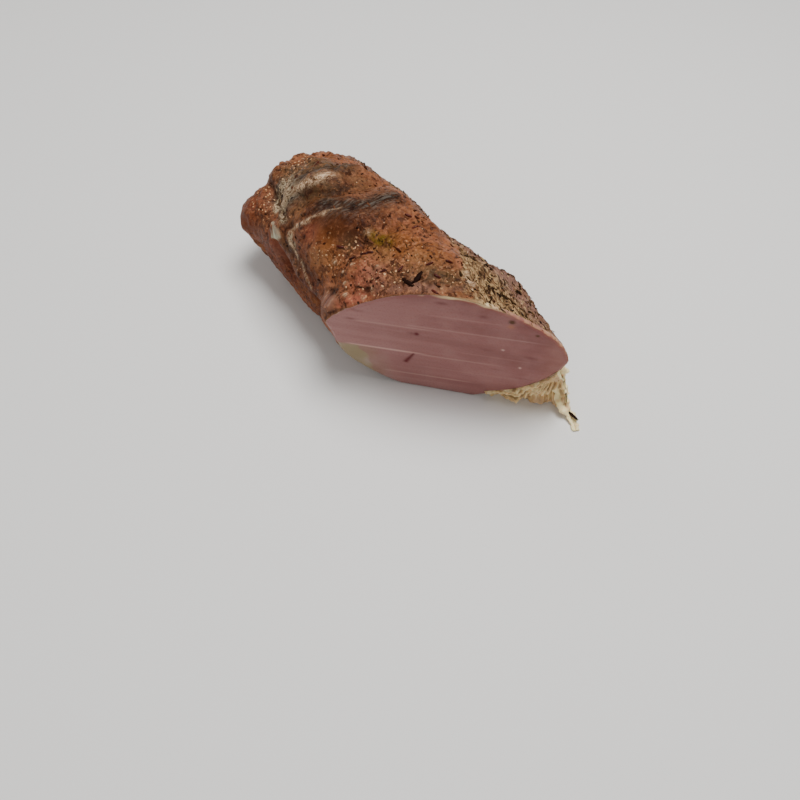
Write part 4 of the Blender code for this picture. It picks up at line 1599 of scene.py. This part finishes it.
@dataclass
class Fringe:
    """Torn fat below the low right corner of the cut: a ruffled sheet and a loose strand."""

    form: MeatForm
    root: tuple[Place, ...] = ((46, 6.8, 4), (57, 16, 11.5), (64, 22.2, 20.5), (66.2, 24.8, 27.5))
    foot: tuple[Place, ...] = (
        (46.5, 13.8, -2), (56.5, 22.8, -2), (63.5, 28.8, -2), (70, 33, -2))
    thick: float = 2.4
    columns: int = 150
    rows: int = 70
    bulge: float = 3.5
    side: Place = (0.35, 0.35, 0.0)
    ruffle: Swell = Swell(7, 9.0, 1.5)
    crumple: tuple[Swell, ...] = (Swell(61, 5.0, 0.3), Swell(62, 2.2, 0.2))
    fold_pitch: float = 0.11
    fold_height: float = 0.4
    fold_bends: tuple[Place, ...] = ((0.06, 2.2, 0.0), (0.08, 5.0, 9.0))
    fold_uneven: Range = (0.12, 5.0)
    fold_centre: float = 3.0
    fold_start: float = 14.0
    fold_foot: Range = (0.35, 5.0)
    foot_thin: float = 0.5
    back_rough: float = 0.5
    edge_rise: Range = (0.93, 0.05)
    # Paler taut edge, and painted highlight on the fold crests
    ridge_rise: Range = (0.4, 0.5)
    ridge_light: float = 0.7
    # Painted shade in the folds
    fold_shade_strength: float = 0.75
    fold_shade_rise: Range = (-0.2, -1.5)
    wrap_size: Range = (40.0, 33.0)
    strand: tuple[Place, ...] = (
        (64.6, 24.4, 28), (65.3, 27.6, 20), (66.2, 29.6, 10), (70.5, 30, 4), (77, 29.3, 1.2),
        (80.6, 27.6, 0.6))
    strand_wide: float = 2.6
    strand_thin: float = 1.0
    strand_lift: float = 12.0
    strand_taper: float = 0.6
    strand_rough: float = 1.6
    strand_groove: Place = (0.25, 0.35, 0.45)
    # Painted shade in the strand's groove, and the strand's paler colour elsewhere
    strand_marks: Range = (0.7, 0.9)
    strand_rows: int = 120
    strand_sides: int = 36

    def build(self) -> None:
        """Make the sheet and the strand."""
        material = FatFinish().material()
        self.build_sheet(material)
        self.build_strand(material)

    def dress(self, name: str, rings: Array, valley: Array, ridge: Array, material: Material) -> None:
        """Make one closed piece of fat from its rings, with coordinates across and along it.

        Args:
            name: Name of the piece.
            rings: Its rings of points.
            valley: How far each point lies in a fold, from 0 to 1.
            ridge: How far each point is paler: the taut edge and the strand in their own colour, and the
                fold crests as painted highlight, from 0 to 1.
            material: The finish.
        """
        points, faces = capped_tube(rings)
        rows, columns = rings.shape[:2]
        ways = (np.linspace(0.0, size, count) for size, count in zip(self.wrap_size, (rows, columns)))
        wrap = np.meshgrid(*ways, indexing="ij")
        marks = {"valley": valley, "ridge": ridge}
        Piece(name, self.form.placed(points), faces, marks, wrap).build(material, Slot.FAT)

    def build_sheet(self, material: Material) -> None:
        """The sheet: straight lines from root to foot, bellied sideways by a sine and ruffled by swells.

        Args:
            material: The finish.
        """
        root = smooth_line(self.root, self.columns)
        foot = smooth_line(self.foot, self.columns)
        row = np.linspace(0.0, 1.0, self.rows)[:, None, None]
        line = root[None] * (1.0 - row) + foot[None] * row
        line = line + np.sin(math.pi * row) * self.bulge * np.array(self.side)
        ruffle = ramp(row[..., 0], 0.0, 0.5) * self.ruffle.height_at(line)
        out = self.form.cut.out
        middle = line + ruffle[..., None] * out
        rough = (self.folds(middle) + sum(swell.height_at(middle) for swell in self.crumple))[..., None]
        half = self.thick / 2.0 * (1.0 - self.foot_thin * row**2)
        front = middle + out * (half + rough)
        back = middle - out * (half - self.back_rough * rough)
        sheet = np.concatenate((front, back[::-1]), axis=0).transpose(1, 0, 2)
        sheet[..., 2] = np.maximum(sheet[..., 2], 0.0)
        # Painted highlight on the fold crests, with the paler taut edge, and painted shade in the folds
        fold = self.folds(sheet) / self.fold_height
        edge = ramp(np.linspace(0.0, 1.0, self.columns)[:, None], *self.edge_rise)
        ridge = np.clip(edge + self.ridge_light * ramp(fold, *self.ridge_rise), 0.0, 1.0)
        low, steep = self.fold_shade_rise
        self.dress("fat_fringe", sheet, self.fold_shade_strength * ramp(steep * (fold - low)), ridge, material)

    def folds(self, points: Array) -> Array:
        """Threads that fan out from the upper corner: one less the size of a sine of the angle there.

        Args:
            points: The points.

        Returns:
            Height at each point.
        """
        right, up = self.form.cut.on_plane(points)
        corner_right, corner_up = self.form.cut.on_plane(np.array(self.root[-1]))
        angle = np.arctan2(right - corner_right, corner_up + self.fold_centre - up)
        away = np.hypot(right - corner_right, up - corner_up)
        bend = sum(size * np.sin(away / length + twist * angle) for size, length, twist in self.fold_bends)
        bent = angle + bend + self.fold_uneven[0] * np.sin(self.fold_uneven[1] * angle)
        wave = 1.0 - np.abs(np.sin(bent * math.pi / self.fold_pitch))
        height = (2.0 * wave - 1.0) * ramp(away, 0.0, self.fold_start)
        least, lifted = self.fold_foot
        return self.fold_height * height * (least + (1.0 - least) * ramp(points[..., 2], 0.0, lifted))

    def build_strand(self, material: Material) -> None:
        """The strand: a flat oval carried along a smooth line, turning to lie flat near the ground.

        Args:
            material: The finish.
        """
        line = smooth_line(self.strand, self.strand_rows)
        ahead = unit(np.gradient(line, axis=0))
        lifted = ramp(line[:, 2:], 0.0, self.strand_lift)
        face = lifted * self.form.cut.out + (1.0 - lifted) * UP
        wide = unit(np.cross(face, ahead))
        thin = np.cross(wide, ahead)
        way = np.linspace(0.0, 1.0, self.strand_rows)[:, None]
        turn = np.linspace(0.0, 2.0 * math.pi, self.strand_sides, endpoint=False)[None, :, None]
        ring = np.cos(turn) * wide[:, None] * self.strand_wide
        ring = ring + np.sin(turn) * thin[:, None] * self.strand_thin
        tube = line[:, None] + (1.0 - self.strand_taper * way**3)[..., None] * ring
        rough = self.strand_rough * sum(swell.height_at(tube) for swell in self.crumple)
        place, spread, depth = self.strand_groove
        groove = bell(np.cos(turn[..., 0]) - place, spread) * np.sin(math.pi * way)
        tube = tube + unit(ring) * (rough - depth * groove)[..., None]
        tube[..., 2] = np.maximum(tube[..., 2], 0.0)
        # Painted shade in the groove; the rest of the strand is the paler fat
        dark, light = self.strand_marks
        self.dress("fat_strand", tube, dark * groove, light - light * groove, material)


@dataclass
class Grains:
    """A heap of grains of one kind: their places, the way they lie, their half sizes and their tints."""

    places: Array
    normals: Array
    headings: Array
    halves: Array
    tints: Array

    def only(self, chosen: Array) -> "Grains":
        """The chosen grains alone."""
        return Grains(*(values[chosen] for values in vars(self).values()))

    def joined(self, other: "Grains") -> "Grains":
        """These grains and the others as one heap."""
        pairs = zip(vars(self).values(), vars(other).values())
        return Grains(*(np.concatenate(pair) for pair in pairs))


@dataclass(frozen=True)
class GrainShape:
    """A small closed lens along X: rings between two poles, with each point moved a little at random."""

    seed: int
    rings: int = 3
    sides: int = 6
    blunt: float = 0.6
    uneven: float = 0.22
    bend: float = 0.25

    def solid(self) -> tuple[Array, list[list[int]]]:
        """The even lens: a sine of the way along to a power, times a circle.

        Returns:
            Points and faces.
        """
        way = math.pi * np.arange(1, self.rings + 1) / (self.rings + 1)
        turn = 2.0 * math.pi * np.arange(self.sides) / self.sides
        radius = np.sin(way)[:, None] ** self.blunt
        along = np.repeat(-np.cos(way)[:, None], self.sides, axis=1)
        ring = np.stack((along, radius * np.cos(turn), radius * np.sin(turn)), axis=-1)
        return capped_tube(ring, np.array(((-1.0, 0.0, 0.0), (1.0, 0.0, 0.0))))

    def heap(self, name: str, grains: Grains, form: MeatForm, material: Material) -> None:
        """Make all grains of one kind as one joined mesh.

        Args:
            name: Name of the piece.
            grains: The grains.
            form: The meat that they lie on.
            material: Their finish.
        """
        points, faces = self.solid()
        draw = np.random.default_rng(self.seed)
        count = len(grains.places)
        shape = points[None] * (1.0 + self.uneven * draw.uniform(-1.0, 1.0, (count, len(points), 1)))
        bend = self.bend * draw.uniform(-1.0, 1.0, (count, 1))
        shape[..., 1] += bend * (shape[..., 0] ** 2 - 0.3)
        normal = unit(grains.normals)
        ahead = unit(grains.headings - normal * (grains.headings * normal).sum(axis=1, keepdims=True))
        axes = np.stack((ahead, np.cross(normal, ahead), normal), axis=1)
        world = (grains.places[:, None] + (shape * grains.halves[:, None]) @ axes).reshape(-1, 3)
        world[:, 2] = np.maximum(world[:, 2], 0.0)
        joined: list[list[int]] = []
        for size in (3, 4):
            same = np.array([face for face in faces if len(face) == size])
            joined += (same + len(points) * np.arange(count)[:, None, None]).reshape(-1, size).tolist()
        tint = np.repeat(grains.tints, len(points))
        Piece(name, form.placed(world), joined, {"tint": tint}).build(material, Slot.HERBS)


@dataclass(frozen=True)
class FlakeRule:
    """One of the part's rules for its fused flakes: seed, number, half sizes, and the area they lie in."""

    seed: int
    count: int
    along: Range
    across: Range
    turn_range: Range
    length_range: Range


@dataclass
class FusedFlakes:
    """The larger flakes, at the places where the part's source lays them, by the same draws."""

    form: MeatForm
    rules: tuple[FlakeRule, ...] = (
        FlakeRule(11, 66, (1.4, 2.7), (0.55, 0.9), (0.28, 0.72), (0.36, 0.97)),
        FlakeRule(12, 34, (0.9, 1.8), (0.6, 1.0), (-0.02, 0.36), (0.3, 0.95)),
        FlakeRule(13, 24, (0.9, 1.7), (0.6, 1.0), (-0.18, 0.75), (0.05, 0.4)),
    )
    through: float = 0.75
    gap: float = 3.1
    sink: float = 0.3
    tries: int = 60
    leaf: tuple[Place, ...] = ((24.6, -13.0, 14.0), (25.6, -10.0, 102.0))
    leaf_half: Place = (2.6, 0.95, 0.5)
    lean_flatten: Range = (0.2, 0.45)
    calm_flatten: float = 0.8
    slimmer: Range = (0.85, 0.8)
    tint_seed: int = 84
    seen_share: float = 0.45
    taken: list[Array] = field(default_factory=list)

    def surface_at(self, run: float, turn: float) -> tuple[Array, Array]:
        """One point of the meat's main surface, by small steps both ways.

        Args:
            run: Way along the meat.
            turn: Way round it.

        Returns:
            The point and the direction that stands out from it.
        """
        steps = np.array(((0.0, 0.0), (0.5, 0.0), (0.0, 0.01)))
        here, along, around = self.form.skin(run + steps[:, 0], turn + steps[:, 1])
        return here, unit(np.cross(around - here, along - here))

    def leaf_blades(self) -> Grains:
        """Lay the two blades of the large leaf.

        Returns:
            The blades.
        """
        x, y, heading = np.array(self.leaf).T
        found = [self.surface_at(*place) for place in zip(*self.form.stand(x, y, (0.25, 0.85), 200))]
        places, normals = (np.array(column) for column in zip(*found))
        self.taken += list(places)
        places = places - normals * (self.leaf_half[2] * self.sink)
        halves = np.tile(self.leaf_half, (len(x), 1))
        return Grains(places, normals, level(np.radians(heading)), halves, np.full(len(x), 0.1))

    def flakes(self, zones: CrustMap) -> tuple[Grains, Array]:
        """All other fused flakes, the largest of each rule first, clear of those laid before.

        Args:
            zones: Where the crust changes: many flakes on the lean crust are roasted to its own brown.

        Returns:
            The flakes, and whether each lies on the lean crust.
        """
        found = []
        for rule in self.rules:
            draw = np.random.default_rng(rule.seed)
            for size in sorted(draw.uniform(0.0, 1.0, rule.count), reverse=True):
                found += self.lay_one(rule, size, draw)
        places, normals, spins, halves = (np.array(column) for column in zip(*found))
        even = np.random.default_rng(self.tint_seed).uniform(0.0, 1.0, len(places))
        lean = 1.0 - zones.fat(places)
        quiet = ("silver", "smooth", "streak")
        calm = np.clip(sum(ZONES[name].strength(places) for name in quiet), 0.0, 1.0)
        halves[:, 1:] *= 1.0 - np.array(self.lean_flatten) * (lean + self.calm_flatten * calm)[:, None]
        seen = np.where((even < self.seen_share) & (calm < 0.5), even, 0.5 + 0.5 * lean)
        tints = np.where(lean > 0.5, seen, 0.5 * even)
        return Grains(places, normals, level(spins), halves, tints), lean > 0.5

    def lay_one(self, rule: FlakeRule, size: float, draw: np.random.Generator) -> list[tuple]:
        """Try places in the rule's area until one is clear.

        Args:
            rule: The flake's rule.
            size: Its size, from 0 for the rule's smallest to 1 for its largest.
            draw: The rule's draws.

        Returns:
            The flake's middle, normal, spin and half sizes, or nothing where no place is clear.
        """
        for _ in range(self.tries):
            turn = math.pi * draw.uniform(*rule.turn_range)
            run = self.form.length * draw.uniform(*rule.length_range) - self.form.end_round
            spin = draw.normal(0.0, 0.5)
            place, normal = self.surface_at(run, turn)
            clear = all(np.linalg.norm(place - other) > self.gap for other in self.taken)
            if clear and self.form.cut.depth(place) > self.gap and place[2] > 2.0 * self.gap:
                self.taken.append(place)
                along, across = (low + size * (high - low) for low, high in (rule.along, rule.across))
                halves = (along, self.slimmer[0] * across, self.slimmer[1] * self.through)
                return [(place - normal * self.through * self.sink, normal, spin, halves)]
        return []


@dataclass(frozen=True)
class Sowing:
    """How one kind of grain is scattered, with the share of its places kept in each part of the crust.

    The ranges of the half sizes are along, across and through. The turns are in parts of pi, the spin is
    the spread of the headings round +X, and the sink is a part of the thickness.
    """

    seed: int
    count: int
    turns: Range
    halves: tuple[Range, Range, Range]
    spin: float
    sink: float
    everywhere: float
    front: float
    glints: float
    fat: float
    shy: float


@dataclass
class Seasoning:
    """Everything that is scattered on the crust."""

    form: MeatForm
    crust: Crust
    zones: CrustMap
    herbs: Sowing = Sowing(86, 12000, (-0.14, 0.8), ((0.3, 1.2), (0.1, 0.26), (0.08, 0.16)), 0.5, 0.2,
                           0.025, 0.07, 0.0, 0.72, 0.9)
    pepper: Sowing = Sowing(87, 1500, (-0.14, 1.08), ((0.22, 0.75), (0.2, 0.55), (0.16, 0.36)), 1.5, 0.2,
                            0.12, 0.3, 0.35, 0.0, 0.85)
    # Pale bits: partly salt and garlic, partly pale grains put as painted glints
    bits: Sowing = Sowing(88, 3000, (-0.1, 1.02), ((0.15, 0.5), (0.1, 0.26), (0.1, 0.2)), 1.5, 0.1,
                          0.04, 0.05, 0.75, 0.4, 0.7)
    reach: Range = (-0.08, 1.1)
    few_large: float = 1.7
    clump_level: float = 0.9
    clumped: Range = (0.15, 2.4)
    cut_gap: float = 0.7
    ground_gap: float = 1.5
    seed_half: Place = (1.5, 0.45, 0.4)
    seed_places: tuple[Place, ...] = (
        (-0.9, -19.1, 50), (1.6, -15.5, 52), (2.9, -13.6, 48), (14, -15.9, 60), (27, 2, 35),
        (24, -4, 75), (29.8, -4.8, 20), (18.5, -11.5, 110), (-8, -19.5, 40), (-2, 6, 30),
        (6, 3, 80), (-50, -4, 60), (33.5, -8.5, 15))
    clump: Swell = Swell(85, 5.0, 0.8)
    loose_leaf: tuple[Place, ...] = ((75.8, 30.2, 2.7), (0, 0.25, 1), (1, 0.05, 0), (2.4, 0.7, 0.35))

    def density(self, sowing: Sowing, points: Array) -> Array:
        """Share of the grains that are kept: a sum over the zones, less on smooth parts, none on the streak.

        Args:
            sowing: The kind of grain.
            points: Points of the crust.

        Returns:
            The share at each point.
        """
        glints, smooth, streak = (ZONES[name].strength(points) for name in ("glints", "smooth", "streak"))
        spread = sowing.everywhere + sowing.front * self.zones.front(points) + sowing.glints * glints
        return (spread + sowing.fat * self.zones.fat(points)) * (1.0 - sowing.shy * smooth) * (1.0 - streak)

    def scatter(self, sowing: Sowing) -> Grains:
        """Lay grains at random where their density allows.

        Args:
            sowing: The kind of grain.

        Returns:
            The grains that are kept.
        """
        draw = np.random.default_rng(sowing.seed)
        count = sowing.count
        run = self.form.length * draw.uniform(*self.reach, count)
        turn = math.pi * draw.uniform(*sowing.turns, count)
        keep = draw.uniform(0.0, 1.0, count)
        size = draw.uniform(0.0, 1.0, (count, 1)) ** self.few_large
        angle = draw.normal(0.0, sowing.spin, count)
        tints = draw.uniform(0.0, 1.0, count)
        places, normals = self.crust.on_surface(run, turn)
        clumped = np.clip(self.clump_level + self.clump.height_at(places), *self.clumped)
        kept = keep < self.density(sowing, places) * clumped
        kept &= (self.form.cut.depth(places) > self.cut_gap) & (places[:, 2] > self.ground_gap)
        low, high = np.array(sowing.halves).T
        sizes = low + size * (high - low)
        places = places - normals * sizes[:, 2:] * sowing.sink
        return Grains(places, normals, level(angle), sizes, tints).only(kept)

    def seeds(self) -> Grains:
        """Lay the long reddish seeds on the top, each at its X and Y.

        Returns:
            The seeds.
        """
        x, y, heading = np.array(self.seed_places).T
        places, normals = self.crust.on_surface(*self.form.stand(x, y, (0.2, 0.9), 240))
        halves = np.tile(self.seed_half, (len(x), 1))
        return Grains(places, normals, level(np.radians(heading)), halves, np.linspace(0.1, 0.6, len(x)))

    def strand_leaf(self) -> Grains:
        """The one dark leaf on the loose strand of fat."""
        place, normal, heading, half = (np.array((row,)) for row in self.loose_leaf)
        return Grains(place, normal, heading, half, np.array((0.2,)))

    def build(self) -> None:
        """Make the heaps of each kind."""
        fused = FusedFlakes(self.form)
        leaf = fused.leaf_blades()
        flakes, lean = fused.flakes(self.zones)
        heaps = (
            ("baked_flakes", flakes.only(lean), GrainShape(80),
             SpiceFinish("flake", tone(46, 16, 8), tone(70, 34, 19), tone(98, 60, 40), 0.65)),
            ("herb_flakes", self.scatter(self.herbs).joined(flakes.only(~lean)),
             GrainShape(85, 3, 4, 0.6, 0.3, 0.35),
             SpiceFinish("herb", tone(28, 16, 8), tone(56, 38, 20), tone(100, 72, 42), 0.65)),
            ("leaf_blades", leaf.joined(self.strand_leaf()), GrainShape(81, 7, 10, 0.7, 0.22, 0.35),
             SpiceFinish("leaf", tone(26, 11, 6), tone(44, 22, 12), tone(70, 44, 26))),
            ("pepper_grains", self.scatter(self.pepper), GrainShape(82, 3, 5, 0.5, 0.3, 0.0),
             SpiceFinish("pepper", tone(28, 12, 6), tone(52, 24, 14), tone(84, 46, 28))),
            ("seeds", self.seeds(), GrainShape(83, 5, 8, 0.7, 0.06),
             SpiceFinish("seed", tone(44, 12, 8), tone(76, 28, 20), tone(100, 52, 34), 0.45, 0.2)),
            # Pale bits: part salt and garlic, part painted glints, gathered where the glints zone is strong
            ("pale_bits", self.scatter(self.bits), GrainShape(84, 3, 5, 0.5, 0.3, 0.0),
             SpiceFinish("pale_bit", tone(136, 82, 50), tone(172, 118, 82), tone(224, 190, 150), 0.35, 0.4)),
        )
        for name, grains, shape, finish in heaps:
            shape.heap(name, grains, self.form, finish.material())


@dataclass(frozen=True)
class Studio:
    """Pale floor, soft lights and the camera at the photograph's viewing angle."""

    azimuth: float = 55.0
    elevation: float = 57.0
    distance: float = 260.0
    target: Place = (29.7, -18.3, 0.0)
    focal_pixels: float = 650.0
    picture: float = 800.0
    sensor: float = 36.0
    floor_half: float = 1.5
    floor_gap: float = 0.00005
    floor_colour: tuple = (0.78, 0.765, 0.74, 1.0)
    world_strength: float = 0.2
    lights: tuple[tuple[str, Place, float, float], ...] = (
        ("key", (0.02, 0.18, 0.8), 0.42, 9.0),
        ("side", (-0.6, -0.2, 0.45), 0.4, 1.0),
        ("front", (0.45, -0.5, 0.45), 0.5, 1.2),
    )

    def camera(self) -> None:
        """Place the camera: back from the target along the viewing direction."""
        azimuth, elevation = math.radians(self.azimuth), math.radians(self.elevation)
        flat = math.cos(elevation)
        back = np.array((math.sin(azimuth) * flat, -math.cos(azimuth) * flat, math.sin(elevation)))
        data = bpy.data.cameras.new("camera")
        data.sensor_width = self.sensor
        data.lens = self.focal_pixels / self.picture * self.sensor
        data.clip_start = 0.01
        made = put("camera", data)
        made.location = (np.array(self.target) + back * self.distance) * MM
        made.rotation_euler = (math.pi / 2.0 - elevation, 0.0, azimuth)
        bpy.context.scene.camera = made

    def light(self, name: str, place: Place, size: float, power: float) -> None:
        """Add a square soft light that looks at the meat.

        Args:
            name: Name of the light.
            place: Its place, in metres.
            size: Its side, in metres.
            power: Its power, in watts.
        """
        data = bpy.data.lights.new(name, "AREA")
        data.size = size
        data.energy = power
        made = put(name, data)
        made.location = place
        x, y, z = place
        made.rotation_euler = (math.atan2(math.hypot(x, y), z), 0.0, math.atan2(x, -y))

    def floor(self) -> None:
        """Lay the pale floor just under the meat."""
        corners = ((-1, -1), (1, -1), (1, 1), (-1, 1))
        mesh = bpy.data.meshes.new("floor")
        points = [(self.floor_half * x, self.floor_half * y, -self.floor_gap) for x, y in corners]
        mesh.from_pydata(points, [], [(0, 1, 2, 3)])
        mesh.materials.append(NodeBoard("floor").finish(self.floor_colour, 0.8))
        put("floor", mesh)

    def world(self) -> None:
        """Even pale light from all round."""
        world = bpy.data.worlds.new("studio")
        world.use_nodes = True
        shade = world.node_tree.nodes["Background"]
        shade.inputs["Color"].default_value = (1.0, 1.0, 1.0, 1.0)
        shade.inputs["Strength"].default_value = self.world_strength
        bpy.context.scene.world = world

    def build(self) -> None:
        """Set up the whole studio."""
        self.camera()
        self.floor()
        self.world()
        for name, place, size, power in self.lights:
            self.light(name, place, size, power)


def main() -> None:
    """Build the studio, the meat and what lies on it."""
    logging.basicConfig(level=logging.INFO, format="%(name)s %(message)s")
    Studio().build()
    form = MeatForm()
    zones = CrustMap(form)
    crust = Crust(form, zones)
    rim = crust.build()
    CutFace(form).build(rim)
    Fringe(form).build()
    Seasoning(form, crust, zones).build()
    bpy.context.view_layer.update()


if __name__ == "__main__":
    main()
